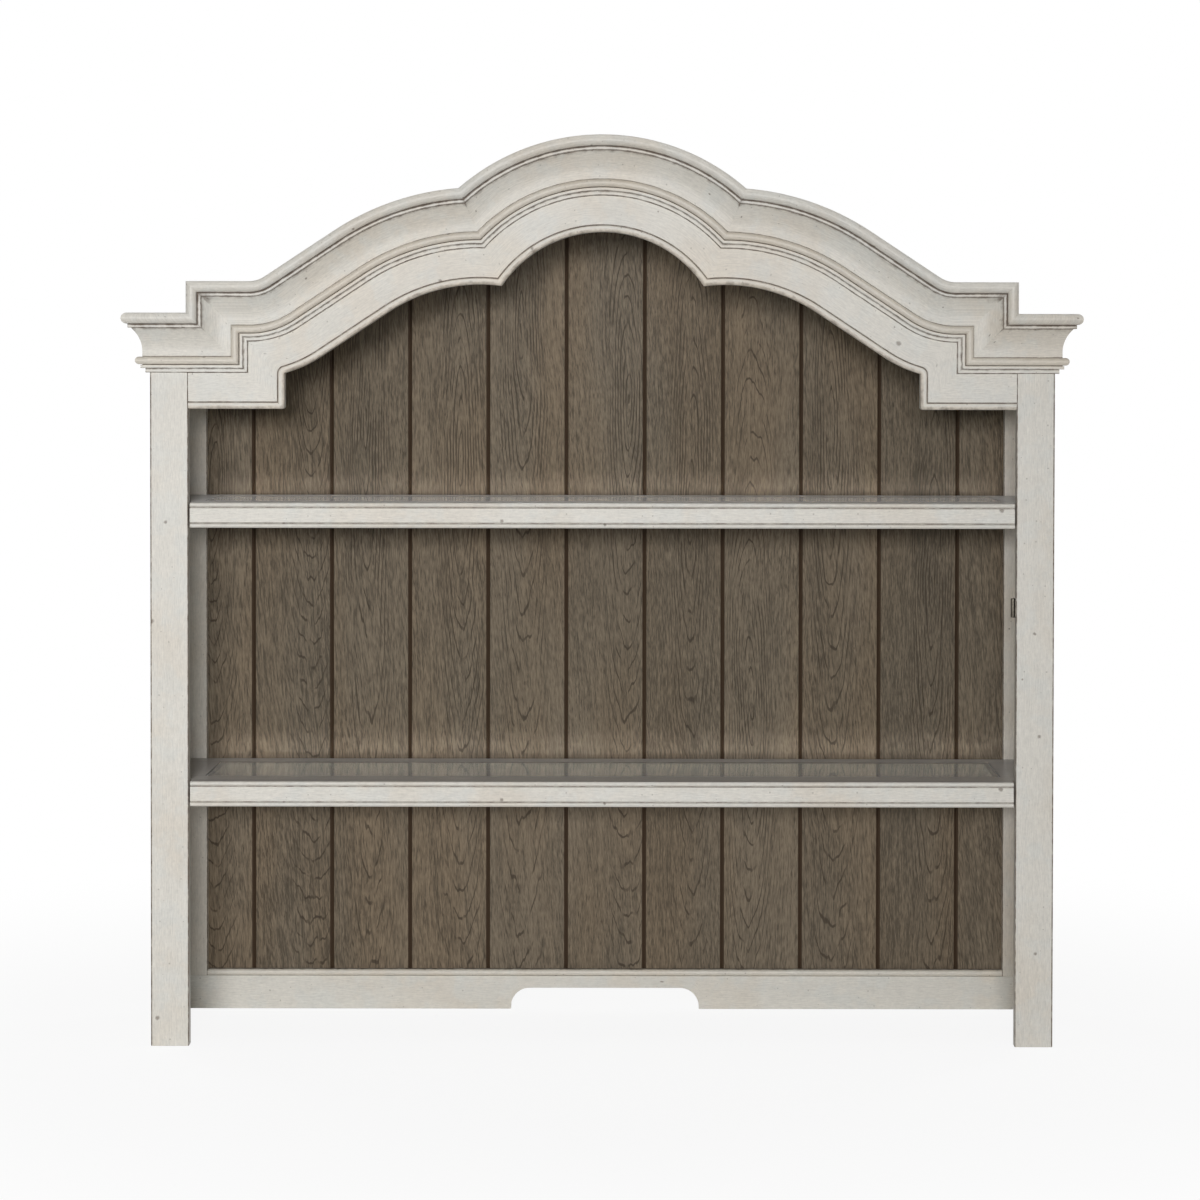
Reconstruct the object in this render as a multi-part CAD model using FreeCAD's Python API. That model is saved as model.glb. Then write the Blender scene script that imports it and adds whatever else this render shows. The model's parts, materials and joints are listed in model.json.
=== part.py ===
import FreeCAD, Part
import math
import os

# Credenza hutch: an open case with two loose shelves under a stepped and arched crown.
# Millimetres. +X is to the viewer's right, +Y to the back, +Z up.
# The origin lies on the surface that the hutch stands on, under the middle of its bounding box.

# Case
CASE_WIDTH = 1356.0
STILE_WIDTH = 57.0
STILE_THICKNESS = 22.0
STILE_EDGE_RADIUS = 2.0
SIDE_THICKNESS = 16.0
INNER_DEPTH = 300.0
BACK_STILE_WIDTH = 30.0
BACK_STILE_THICKNESS = 10.0

# Clear heights: below the lower shelf, between the shelves, and from the upper shelf to the fascia
LOWER_BAY_HEIGHT = 361.0
MIDDLE_BAY_HEIGHT = 381.0
UPPER_BAY_HEIGHT = 140.5

# Arch line: the bottom line of the crown. A level end, a step, a wave (hollow, slope and lobe) and
# a centre arc. The lobe takes its share of the radius that hollow and lobe have when no slope is left.
END_RUN = 147.0
STEP_RISE = 47.0
WAVE_RISE = 140.0
CENTER_RISE = 79.0
CENTER_RADIUS = 237.0
HOLLOW_TOP_RADIUS = 45.0
HOLLOW_LEVEL = 4.0
LOBE_CREST_SHARE = 0.3465
LOBE_RADIUS_SHARE = 0.851

# Fascia below the arch line, with a bead along its lower edge
FASCIA_DROP = 54.5
EDGE_BEAD_WIDTH = 9.5
EDGE_BEAD_CHAMFER = 2.4
EDGE_CORNER_RADIUS = 1.5
EDGE_GROOVE_WIDTH = 1.6
EDGE_GROOVE_DEPTH = 1.6

# Crown moulding, from its foot up: rise along the arch's normal, reach out of the fascia
LOW_FILLET_RISE = 6.6
LOW_FILLET_REACH = 5.7
HIGH_FILLET_RISE = 4.8
HIGH_FILLET_REACH = 12.2
QUIRK_RISE = 0.9
QUIRK_REACH = 9.8
ASTRAGAL_RADIUS = 5.7
ASTRAGAL_REACH = 19.5
COVE_FOOT_RISE = 7.4
COVE_RISE = 33.9
COVE_RADIUS = 48.0
TOP_FILLET_RISE = 5.7
TOP_FILLET_REACH = 29.0
ASTRAGAL_CHORDS = 5
COVE_CHORDS = 4

# Roof boards, whose moulded edge tops the crown
ROOF_THICKNESS = 16.5
ROOF_REACH = 38.0
ROOF_UNDER_RADIUS = 7.0
ROOF_TOP_RADIUS = 3.0
ROOF_CHORDS = 3

# Plank back
PLANK_PITCH = 124.2
PLANK_THICKNESS = 8.0
PLANK_CHAMFER = 3.0
PLANK_CHAMFER_DEPTH = 2.2
TONGUE_LENGTH = 4.0
TONGUE_THICKNESS = 2.6

# Bottom rail with its wire cut-out and cap moulding
RAIL_HEIGHT = 52.5
CUTOUT_WIDTH = 299.0
CUTOUT_HEIGHT = 33.5
CUTOUT_RADIUS = 30.0
RAIL_CAP_HEIGHT = 10.5
RAIL_CAP_OVERHANG = 2.0

# Shelves: reeded nosing, stained frame, glass insert
SHELF_THICKNESS = 38.0
NOSING_BEAD_RADIUS = 3.5
NOSING_GROOVE_WIDTH = 1.6
NOSING_GROOVE_DEPTH = 2.0
FRONT_RAIL_DEPTH = 47.0
BACK_RAIL_DEPTH = 46.0
SIDE_RAIL_WIDTH = 56.0
GLASS_THICKNESS = 5.0
GLASS_BELOW_TOP = 0.5
GLASS_LIP = 9.0

# Shelf pins and the holes they stand in
PIN_DIAMETER = 4.8
PIN_SHANK = 9.5
PIN_PLATE_THICKNESS = 2.0
PIN_PLATE_WIDTH = 12.0
PIN_LEDGE = 11.0
PIN_PLATE_HEIGHT = 16.0
PIN_INSET = 40.0
HOLE_DEPTH = 10.0

# Touch switch on the inner edge of the right stile
SWITCH_HEIGHT = 29.0
SWITCH_PLACE_SHARE = 0.6877
SWITCH_BARREL_RADIUS = 3.6
SWITCH_END_CHAMFER = 1.2
SWITCH_PLATE_THICKNESS = 1.2
SWITCH_PLATE_WIDTH = 14.0

# Lamp behind the fascia
LAMP_BOARD_DEPTH = 90.0
LAMP_BOARD_THICKNESS = 12.0
LAMP_BOARD_SETUP = 22.0
LAMP_LENGTH = 260.0
LAMP_DEPTH = 34.0
LAMP_HEIGHT = 14.0
LAMP_CHAMFER = 3.0
DIFFUSER_MARGIN = 5.0
DIFFUSER_THICKNESS = 3.0
DIFFUSER_PROUD = 1.0
DIMMER_WIDTH = 90.0
DIMMER_DEPTH = 44.0
DIMMER_HEIGHT = 24.0
DIMMER_CHAMFER = 3.0
INLET_DIAMETER = 8.0
INLET_DEPTH = 10.0

# Clearances and the overrun of cuts
ROOF_FIT = 0.2
PLANK_FIT = 0.3
SHELF_SIDE_FIT = 1.0
NOSING_FIT = 2.0
SHELF_BACK_FIT = 1.0
GLASS_FIT = 1.0
PIN_FIT = 0.1
DIFFUSER_FIT = 0.2
OVERRUN = 200.0

# Places that follow from the sizes
case_half = CASE_WIDTH / 2
opening_half = case_half - STILE_WIDTH
inner_half = case_half - SIDE_THICKNESS
back_opening_half = inner_half - BACK_STILE_WIDTH
case_depth = INNER_DEPTH + BACK_STILE_THICKNESS + PLANK_THICKNESS
back_y = (case_depth + ROOF_REACH) / 2
face_y = back_y - case_depth
behind_stile_y = face_y + STILE_THICKNESS
back_stile_y = face_y + INNER_DEPTH
plank_y = back_y - PLANK_THICKNESS

astragal_foot = LOW_FILLET_RISE + HIGH_FILLET_RISE + QUIRK_RISE
astragal_top = astragal_foot + 2 * ASTRAGAL_RADIUS
cove_foot = astragal_top + QUIRK_RISE
cove_top = cove_foot + COVE_FOOT_RISE + COVE_RISE
crown_rise = cove_top + QUIRK_RISE + TOP_FILLET_RISE
roof_under = crown_rise + ROOF_FIT
roof_top = roof_under + ROOF_THICKNESS

lower_shelf_top = LOWER_BAY_HEIGHT + SHELF_THICKNESS
upper_shelf_top = lower_shelf_top + MIDDLE_BAY_HEIGHT + SHELF_THICKNESS
end_line_height = upper_shelf_top + UPPER_BAY_HEIGHT + FASCIA_DROP
step_height = end_line_height + STEP_RISE
crest_height = step_height + WAVE_RISE
peak_height = crest_height + CENTER_RISE

step_half_width = case_half - END_RUN
lobe_crest_x = LOBE_CREST_SHARE * step_half_width
hollow_radius = HOLLOW_TOP_RADIUS + roof_top
wave_run = step_half_width - HOLLOW_LEVEL - lobe_crest_x
both_radii_limit = (wave_run**2 + WAVE_RISE**2) / (2 * WAVE_RISE)
lobe_radius = LOBE_RADIUS_SHARE * (both_radii_limit - hollow_radius)


def block(x_range, y_range, z_range):
    """Box between two places on each axis."""
    low = [min(ends) for ends in (x_range, y_range, z_range)]
    size = [abs(ends[1] - ends[0]) for ends in (x_range, y_range, z_range)]
    return Part.makeBox(*size, FreeCAD.Vector(*low))


def mirror(shape):
    """The same shape on the other side of the middle plane."""
    return shape.mirror(FreeCAD.Vector(0, 0, 0), FreeCAD.Vector(1, 0, 0))


# Outlines. A segment is (start, middle, end) in its plane, and its middle is None on a straight one.

def straight(*points):
    """Straight segments through a row of points."""
    return [(start, None, end) for start, end in zip(points, points[1:])]


def walked_back(segments):
    """The same segments from their far end."""
    return [(end, middle, start) for start, middle, end in reversed(segments)]


def flipped(segments):
    """The same segments with the first coordinate negated."""
    return [
        tuple(None if point is None else (-point[0], point[1]) for point in segment)
        for segment in segments
    ]


def face_of(segments, place):
    """Plane face inside closed segments, where place takes a point of the plane to a vector."""
    edges = []
    for start, middle, end in segments:
        if middle is None:
            edges.append(Part.LineSegment(place(*start), place(*end)).toShape())
        else:
            edges.append(Part.Arc(place(*start), place(*middle), place(*end)).toShape())
    return Part.Face(Part.Wire(edges))


def plate(segments, front, back):
    """Solid between two depths whose outline, seen from the front, is given as (x, z) points."""
    face = face_of(segments, lambda x, z: FreeCAD.Vector(x, front, z))
    return face.extrude(FreeCAD.Vector(0, back - front, 0))


def on_circle(center, radius, angle):
    """Point of a circle at an angle taken clockwise from straight up."""
    return (center[0] + radius * math.sin(angle), center[1] + radius * math.cos(angle))


def angle_of(center, point):
    """Angle of a point about a centre, clockwise from straight up."""
    return math.atan2(point[0] - center[0], point[1] - center[1])


def arc(center, radius, first, last):
    """Arc segment between two angles of a circle."""
    start, middle, end = (
        on_circle(center, radius, angle) for angle in (first, (first + last) / 2, last)
    )
    return [(start, middle, end)]


def upper_meeting(center_a, radius_a, center_b, radius_b):
    """Upper one of the two points where two circles meet."""
    span = math.dist(center_a, center_b)
    along = (radius_a**2 - radius_b**2 + span**2) / (2 * span)
    away = math.sqrt(radius_a**2 - along**2)
    unit = ((center_b[0] - center_a[0]) / span, (center_b[1] - center_a[1]) / span)
    foot = (center_a[0] + along * unit[0], center_a[1] + along * unit[1])
    side = 1 if unit[0] > 0 else -1
    return (foot[0] - side * away * unit[1], foot[1] + side * away * unit[0])


# The arch line and its parallels. Each parallel lies a given rise outside the arch line.

arc_center = (0.0, peak_height - CENTER_RADIUS)
lobe_center = (lobe_crest_x, crest_height - lobe_radius)
hollow_center = (step_half_width - HOLLOW_LEVEL, step_height + hollow_radius)
slope = (
    math.asin((lobe_radius + hollow_radius) / math.dist(lobe_center, hollow_center))
    - math.atan2(hollow_center[1] - lobe_center[1], hollow_center[0] - lobe_center[0])
)
slope_start = on_circle(lobe_center, lobe_radius, slope)


def cusp(rise):
    """Right-hand point where the centre arc meets the wave."""
    return upper_meeting(arc_center, CENTER_RADIUS + rise, lobe_center, lobe_radius + rise)


def arch_half(rise, corner_radius=0.0):
    """Segments of one parallel from its crest to the foot of its step, on the right-hand side."""
    meeting = cusp(rise)
    step_x = step_half_width + rise
    radius = hollow_radius - rise
    center_arc = arc(arc_center, CENTER_RADIUS + rise, 0.0, angle_of(arc_center, meeting))
    lobe = arc(lobe_center, lobe_radius + rise, angle_of(lobe_center, meeting), slope)
    foot = (step_x, end_line_height + rise)
    if step_x >= hollow_center[0]:
        hollow = arc(hollow_center, radius, slope + math.pi, math.pi)
        step = straight(hollow[-1][-1], (step_x, step_height + rise), foot)
        return center_arc + lobe + straight(lobe[-1][-1], hollow[0][0]) + hollow + step
    corner_x = step_x - corner_radius
    corner_drop = math.sqrt((radius + corner_radius)**2 - (hollow_center[0] - corner_x)**2)
    corner = (corner_x, hollow_center[1] - corner_drop)
    corner_angle = angle_of(hollow_center, corner) + 2 * math.pi
    hollow = arc(hollow_center, radius, slope + math.pi, corner_angle)
    rounding = []
    if corner_radius > 0:
        rounding = arc(corner, corner_radius, corner_angle - math.pi, math.pi / 2)
    step = straight((step_x, corner[1]), foot)
    return center_arc + lobe + straight(lobe[-1][-1], hollow[0][0]) + hollow + rounding + step


def arch_line(rise, half_width, corner_radius=0.0):
    """Segments of one parallel from the left end to the right end of a width."""
    right = arch_half(rise, corner_radius)
    right += straight(right[-1][-1], (half_width, end_line_height + rise))
    return walked_back(flipped(right)) + right


def under_arch(rise, half_width, bottom):
    """Closed segments round everything between a height and one parallel."""
    line = arch_line(rise, half_width)
    return line + straight(line[-1][-1], (half_width, bottom), (-half_width, bottom), line[0][0])


# Crown and roof sections as (rise, reach) points, and the pieces swept from them

def round_points(center, radius, first, last, chords):
    """Points of a round in a section, from one angle to another, where 0 points straight out."""
    return [
        (center[0] + radius * math.sin(angle), center[1] + radius * math.cos(angle))
        for angle in (first + (last - first) * step / chords for step in range(chords + 1))
    ]


def crown_section():
    """Two fillets, an astragal, a cove and a top fillet; the rounds are short chords."""
    high_foot = LOW_FILLET_RISE
    high_top = high_foot + HIGH_FILLET_RISE
    astragal_center = (astragal_foot + ASTRAGAL_RADIUS, ASTRAGAL_REACH - ASTRAGAL_RADIUS)
    astragal = round_points(astragal_center, ASTRAGAL_RADIUS, -math.pi / 2, math.pi / 2, ASTRAGAL_CHORDS)
    cove_center = (cove_foot + COVE_FOOT_RISE, QUIRK_REACH + COVE_RADIUS)
    cove_turn = math.asin(COVE_RISE / COVE_RADIUS)
    cove = round_points(cove_center, COVE_RADIUS, math.pi, math.pi - cove_turn, COVE_CHORDS)
    return straight(
        (0, 0),
        (0, LOW_FILLET_REACH),
        (high_foot, LOW_FILLET_REACH),
        (high_foot, HIGH_FILLET_REACH),
        (high_top, HIGH_FILLET_REACH),
        (high_top, QUIRK_REACH),
        (astragal_foot, QUIRK_REACH),
        *astragal,
        (astragal_top, QUIRK_REACH),
        *cove,
        (cove_top + QUIRK_RISE, cove[-1][1]),
        (cove_top + QUIRK_RISE, TOP_FILLET_REACH),
        (crown_rise, TOP_FILLET_REACH),
        (crown_rise, 0),
        (0, 0),
    )


def roof_section(back_reach):
    """Board with a rounded front edge, back to a given reach."""
    under_center = (roof_under + ROOF_UNDER_RADIUS, ROOF_REACH - ROOF_UNDER_RADIUS)
    upper_center = (roof_top - ROOF_TOP_RADIUS, ROOF_REACH - ROOF_TOP_RADIUS)
    return straight(
        (roof_under, back_reach),
        *round_points(under_center, ROOF_UNDER_RADIUS, -math.pi / 2, 0, ROOF_CHORDS),
        *round_points(upper_center, ROOF_TOP_RADIUS, 0, math.pi / 2, ROOF_CHORDS),
        (roof_top, back_reach),
        (roof_under, back_reach),
    )


def run(section, foot, outward, along, length):
    """Section swept straight: foot lies on the arch line, outward and along are unit directions."""
    face = face_of(section, lambda rise, reach: FreeCAD.Vector(
        foot[0] + outward[0] * rise, face_y - reach, foot[1] + outward[1] * rise))
    return face.extrude(FreeCAD.Vector(along[0] * length, 0, along[1] * length))


def bend(section, center, radius, side, first, last):
    """Section swept about a centre between two angles; side is -1 where the arch line is hollow."""
    face = face_of(section, lambda rise, reach: FreeCAD.Vector(
        center[0] + (radius + side * rise) * math.sin(first),
        face_y - reach,
        center[1] + (radius + side * rise) * math.cos(first)))
    axis_point = FreeCAD.Vector(center[0], 0, center[1])
    return face.revolve(axis_point, FreeCAD.Vector(0, 1, 0), math.degrees(last - first))


def joined(pieces):
    """One solid made of pieces that meet face to face."""
    whole = pieces[0].fuse(pieces[1:])
    return whole.removeSplitter()


def mitre_points(foot, head):
    """Two points of a mitre line, well inside and well outside the crown."""
    length = math.dist(foot, head)
    unit = ((head[0] - foot[0]) / length, (head[1] - foot[1]) / length)
    return [(foot[0] + unit[0] * reach, foot[1] + unit[1] * reach) for reach in (-OVERRUN, OVERRUN)]


def sector(points):
    """Prism through the whole depth over a polygon seen from the front."""
    return plate(straight(*points, points[0]), face_y - OVERRUN, back_y + OVERRUN)


cusp_in, cusp_out = mitre_points(cusp(0.0), cusp(roof_top))
step_in, step_out = mitre_points(
    (step_half_width, step_height), (step_half_width + roof_top, step_height + roof_top))
foot_in, foot_out = mitre_points(
    (step_half_width, end_line_height), (step_half_width + roof_top, end_line_height + roof_top))
beyond_x = case_half + OVERRUN


def center_piece(section):
    """Centre arc between its two cusps."""
    reach_angle = max(angle_of(arc_center, cusp(rise)) for rise in (0.0, roof_top)) + slope / 4
    arch = bend(section, arc_center, CENTER_RADIUS, 1, -reach_angle, reach_angle)
    return arch.common(sector([(-cusp_in[0], cusp_in[1]), (-cusp_out[0], cusp_out[1]), cusp_out, cusp_in]))


def wave_piece(section):
    """Lobe, straight slope and hollow between the cusp and the step, on the right-hand side."""
    normal = (math.sin(slope), math.cos(slope))
    slope_end = on_circle(hollow_center, hollow_radius, slope + math.pi)
    lobe_start = min(angle_of(lobe_center, cusp(rise)) for rise in (0.0, roof_top)) - slope / 4
    lobe = bend(section, lobe_center, lobe_radius, 1, lobe_start, slope)
    incline = run(section, slope_start, normal, (normal[1], -normal[0]), math.dist(slope_start, slope_end))
    hollow = bend(section, hollow_center, hollow_radius, -1, slope + math.pi, math.pi)
    level = run(section, (hollow_center[0], step_height), (0, 1), (1, 0), OVERRUN)
    wave = joined([lobe, incline, hollow, level])
    return wave.common(sector([cusp_in, cusp_out, step_out, step_in]))


def riser_piece(section):
    """Upright run at the step, on the right-hand side."""
    start = (step_half_width, end_line_height - OVERRUN)
    upright = run(section, start, (1, 0), (0, 1), STEP_RISE + 2 * OVERRUN)
    return upright.common(sector([foot_in, foot_out, step_out, step_in]))


def end_run(section):
    """Level run over the right-hand stile, still without its outer mitre."""
    level = run(section, (0.0, end_line_height), (0, 1), (1, 0), case_half + OVERRUN)
    return level.common(sector([foot_in, foot_out, (beyond_x, foot_out[1]), (beyond_x, foot_in[1])]))


def side_run(section):
    """Level run along the right-hand side of the case, from ahead of the face to the back."""
    face = face_of(section, lambda rise, reach: FreeCAD.Vector(
        case_half + reach, face_y - OVERRUN, end_line_height + rise))
    return face.extrude(FreeCAD.Vector(0, back_y - face_y + OVERRUN, 0))


def corner_mitre(inner_x, inner_y):
    """Prism on one side of the plan mitre at the right-hand front corner."""
    points = [
        (case_half + OVERRUN, face_y - OVERRUN),
        (case_half - OVERRUN, face_y + OVERRUN),
        (inner_x, inner_y),
    ]
    bottom = end_line_height - OVERRUN
    face = face_of(straight(*points, points[0]), lambda x, y: FreeCAD.Vector(x, y, bottom))
    return face.extrude(FreeCAD.Vector(0, 0, 2 * OVERRUN + roof_top))


def crown_pieces():
    """Mitred crown moulding, right-hand pieces and centre."""
    section = crown_section()
    front_side = corner_mitre(case_half - 2 * OVERRUN, face_y - 2 * OVERRUN)
    rear_side = corner_mitre(case_half + 2 * OVERRUN, back_y + 2 * OVERRUN)
    return {
        "crown_center": center_piece(section),
        "crown_wave": wave_piece(section),
        "crown_riser": riser_piece(section),
        "crown_end": end_run(section).common(front_side),
        "crown_return": side_run(section).common(rear_side),
    }


def roof_pieces():
    """Roof boards that follow the crown and carry its top edge, right-hand pieces and centre."""
    section = roof_section(-case_depth)
    return {
        "roof_center": center_piece(section),
        "roof_wave": wave_piece(section),
        "roof_riser": riser_piece(section),
        "roof_end": end_run(section).common(side_run(roof_section(-case_half))),
    }


# Front

def stile():
    """Right-hand front stile with eased front edges."""
    post = block(
        (opening_half, case_half), (face_y, behind_stile_y), (0, end_line_height + roof_under - ROOF_FIT))
    eased = [
        edge for edge in post.Edges
        if edge.BoundBox.ZLength > STILE_WIDTH and edge.BoundBox.YMax < behind_stile_y
    ]
    return post.makeFillet(STILE_EDGE_RADIUS, eased)


def segment_middle(segment):
    """Point halfway along a segment."""
    start, middle, end = segment
    return middle if middle is not None else ((start[0] + end[0]) / 2, (start[1] + end[1]) / 2)


def fascia():
    """Arched board between the stiles, with a beaded lower edge."""
    lower = arch_line(-FASCIA_DROP, opening_half, EDGE_CORNER_RADIUS)
    upper = arch_line(crown_rise, opening_half)
    ends = (
        straight(lower[-1][-1], upper[-1][-1]),
        straight(upper[0][0], lower[0][0]),
    )
    board = plate(lower + ends[0] + walked_back(upper) + ends[1], face_y, behind_stile_y)
    edge_points = [FreeCAD.Vector(x, face_y, z) for x, z in map(segment_middle, lower)]
    front_edges = [
        edge for edge in board.Edges
        if any(Part.Vertex(point).distToShape(edge)[0] < ROOF_FIT for point in edge_points)
        and edge.BoundBox.YLength < ROOF_FIT
    ]
    board = board.makeChamfer(EDGE_BEAD_CHAMFER, front_edges)
    groove_rise = EDGE_BEAD_WIDTH - FASCIA_DROP
    groove_corner = EDGE_CORNER_RADIUS + EDGE_BEAD_WIDTH
    near = arch_line(groove_rise, opening_half, groove_corner)
    far = arch_line(groove_rise + EDGE_GROOVE_WIDTH, opening_half, groove_corner + EDGE_GROOVE_WIDTH)
    ring = (
        near
        + straight(near[-1][-1], far[-1][-1])
        + walked_back(far)
        + straight(far[0][0], near[0][0])
    )
    return board.cut(plate(ring, face_y, face_y + EDGE_GROOVE_DEPTH))


# Sides and back

def pin_places():
    """Depth and height of each shelf pin's axis, by shelf."""
    front = behind_stile_y + PIN_INSET
    rear = back_stile_y - PIN_INSET
    drop = SHELF_THICKNESS + PIN_PLATE_HEIGHT / 2
    return {
        "lower": [(y, lower_shelf_top - drop) for y in (front, rear)],
        "upper": [(y, upper_shelf_top - drop) for y in (front, rear)],
    }


def side_panel():
    """Right-hand side panel with a hole for each shelf pin."""
    panel = block(
        (inner_half, case_half), (behind_stile_y, back_y), (0, end_line_height + roof_under - ROOF_FIT))
    radius = PIN_DIAMETER / 2 + PIN_FIT
    holes = [
        Part.makeCylinder(
            radius, HOLE_DEPTH, FreeCAD.Vector(inner_half, y, z), FreeCAD.Vector(1, 0, 0))
        for places in pin_places().values()
        for y, z in places
    ]
    return panel.cut(holes)


def back_stile():
    """Right-hand white strip that covers the planks' end."""
    return block(
        (back_opening_half, inner_half), (back_stile_y, plank_y), (RAIL_HEIGHT, end_line_height + crown_rise))


def bottom_rail():
    """Rail across the foot of the back, cut out for wires."""
    rail = block((-inner_half, inner_half), (back_stile_y, back_y), (0, RAIL_HEIGHT))
    half_cut = CUTOUT_WIDTH / 2
    cutout = block((-half_cut, half_cut), (back_stile_y, back_y), (-CUTOUT_HEIGHT, CUTOUT_HEIGHT))
    corners = [
        edge for edge in cutout.Edges
        if edge.BoundBox.YLength > CUTOUT_HEIGHT / 2
        and edge.BoundBox.ZMin > 0
        and edge.BoundBox.XLength < CUTOUT_HEIGHT / 2
    ]
    return rail.cut(cutout.makeFillet(CUTOUT_RADIUS, corners))


def rail_cap():
    """Rounded moulding on the bottom rail, between the back stiles."""
    front = back_stile_y - RAIL_CAP_OVERHANG
    top = RAIL_HEIGHT + RAIL_CAP_HEIGHT
    radius = RAIL_CAP_HEIGHT / 2
    nose = ((front + radius, RAIL_HEIGHT), (front, RAIL_HEIGHT + radius), (front + radius, top))
    outline = straight((plank_y, RAIL_HEIGHT), nose[0]) + [nose]
    outline += straight(nose[2], (plank_y, top), (plank_y, RAIL_HEIGHT))
    face = face_of(outline, lambda y, z: FreeCAD.Vector(-back_opening_half, y, z))
    return face.extrude(FreeCAD.Vector(2 * back_opening_half, 0, 0))


def plank_field():
    """Whole area that the planks cover, from the bottom rail to the roof."""
    return plate(under_arch(crown_rise, inner_half - PLANK_FIT, RAIL_HEIGHT), plank_y, back_y)


def plank(center_x, field):
    """One tongued and grooved plank, trimmed to the field."""
    left = center_x - PLANK_PITCH / 2
    right = center_x + PLANK_PITCH / 2
    tongue_front = back_y - (PLANK_THICKNESS + TONGUE_THICKNESS) / 2
    tongue_back = tongue_front + TONGUE_THICKNESS
    slot_front = tongue_front - PLANK_FIT
    slot_back = tongue_back + PLANK_FIT
    slot_end = left + TONGUE_LENGTH + PLANK_FIT
    points = [
        (left + PLANK_CHAMFER, plank_y),
        (right - PLANK_CHAMFER, plank_y),
        (right, plank_y + PLANK_CHAMFER_DEPTH),
        (right, tongue_front),
        (right + TONGUE_LENGTH, tongue_front),
        (right + TONGUE_LENGTH, tongue_back),
        (right, tongue_back),
        (right, back_y),
        (left, back_y),
        (left, slot_back),
        (slot_end, slot_back),
        (slot_end, slot_front),
        (left, slot_front),
        (left, plank_y + PLANK_CHAMFER_DEPTH),
    ]
    face = face_of(straight(*points, points[0]), lambda x, y: FreeCAD.Vector(x, y, RAIL_HEIGHT))
    return face.extrude(FreeCAD.Vector(0, 0, peak_height + crown_rise)).common(field)


# Shelves

shelf_half = inner_half - SHELF_SIDE_FIT
glass_half = shelf_half - SIDE_RAIL_WIDTH
nosing_back = behind_stile_y + SHELF_BACK_FIT
glass_front = nosing_back + FRONT_RAIL_DEPTH
shelf_back = back_stile_y - SHELF_BACK_FIT
glass_back = shelf_back - BACK_RAIL_DEPTH


def nosing(top):
    """Front edge of a shelf: a flat between two beads, with a groove at each."""
    bottom = top - SHELF_THICKNESS
    radius = NOSING_BEAD_RADIUS
    groove_y = face_y + NOSING_GROOVE_DEPTH
    half_chord = math.sqrt(radius**2 - (radius - NOSING_GROOVE_DEPTH)**2)
    side = [
        ((face_y + radius, bottom), (face_y, bottom + radius), (groove_y, bottom + radius + half_chord)),
    ]
    flat_low = bottom + radius + half_chord + NOSING_GROOVE_WIDTH
    flat_high = top - radius - half_chord - NOSING_GROOVE_WIDTH
    outline = side + straight(
        side[0][2],
        (groove_y, flat_low),
        (face_y, flat_low),
        (face_y, flat_high),
        (groove_y, flat_high),
        (groove_y, top - radius - half_chord),
    )
    outline += [((groove_y, top - radius - half_chord), (face_y, top - radius), (face_y + radius, top))]
    outline += straight((face_y + radius, top), (nosing_back, top), (nosing_back, bottom), side[0][0])
    half = opening_half - NOSING_FIT
    face = face_of(outline, lambda y, z: FreeCAD.Vector(-half, y, z))
    return face.extrude(FreeCAD.Vector(2 * half, 0, 0))


def shelf(name, top):
    """Nosing, four frame rails rebated for the glass, and the glass insert."""
    height = (top - SHELF_THICKNESS, top)
    ledge = (height[0], top - GLASS_BELOW_TOP - GLASS_THICKNESS)
    lip_front = glass_front + GLASS_LIP
    lip_back = glass_back - GLASS_LIP
    front_rail = joined([
        block((-shelf_half, shelf_half), (nosing_back, glass_front), height),
        block((-glass_half, glass_half), (glass_front, lip_front), ledge),
    ])
    back_rail = joined([
        block((-shelf_half, shelf_half), (glass_back, shelf_back), height),
        block((-glass_half, glass_half), (lip_back, glass_back), ledge),
    ])
    side_rail = joined([
        block((glass_half, shelf_half), (glass_front, glass_back), height),
        block((glass_half - GLASS_LIP, glass_half), (lip_front, lip_back), ledge),
    ])
    pane_half = glass_half - GLASS_FIT
    pane = block(
        (-pane_half, pane_half),
        (glass_front + GLASS_FIT, glass_back - GLASS_FIT),
        (ledge[1], top - GLASS_BELOW_TOP),
    )
    return {
        name + "_shelf_nosing": nosing(top),
        name + "_shelf_front_rail": front_rail,
        name + "_shelf_back_rail": back_rail,
        name + "_shelf_side_rail_right": side_rail,
        name + "_shelf_side_rail_left": mirror(side_rail),
        name + "_shelf_glass": pane,
    }


def pin(y, z):
    """Right-hand shelf pin: a shank in the side panel under a flat ledge."""
    top = z + PIN_PLATE_HEIGHT / 2
    width = (y - PIN_PLATE_WIDTH / 2, y + PIN_PLATE_WIDTH / 2)
    return joined([
        block((inner_half - PIN_PLATE_THICKNESS, inner_half), width, (top - PIN_PLATE_HEIGHT, top)),
        block((inner_half - PIN_LEDGE, inner_half), width, (top - PIN_PLATE_THICKNESS, top)),
        Part.makeCylinder(
            PIN_DIAMETER / 2,
            PIN_SHANK + PIN_PLATE_THICKNESS / 2,
            FreeCAD.Vector(inner_half - PIN_PLATE_THICKNESS / 2, y, z),
            FreeCAD.Vector(1, 0, 0),
        ),
    ])


def pin_set(places):
    """The four pins of one shelf."""
    right = [pin(y, z) for y, z in places]
    return Part.makeCompound(right + [mirror(piece) for piece in right])


# Touch switch and lamps

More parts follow.
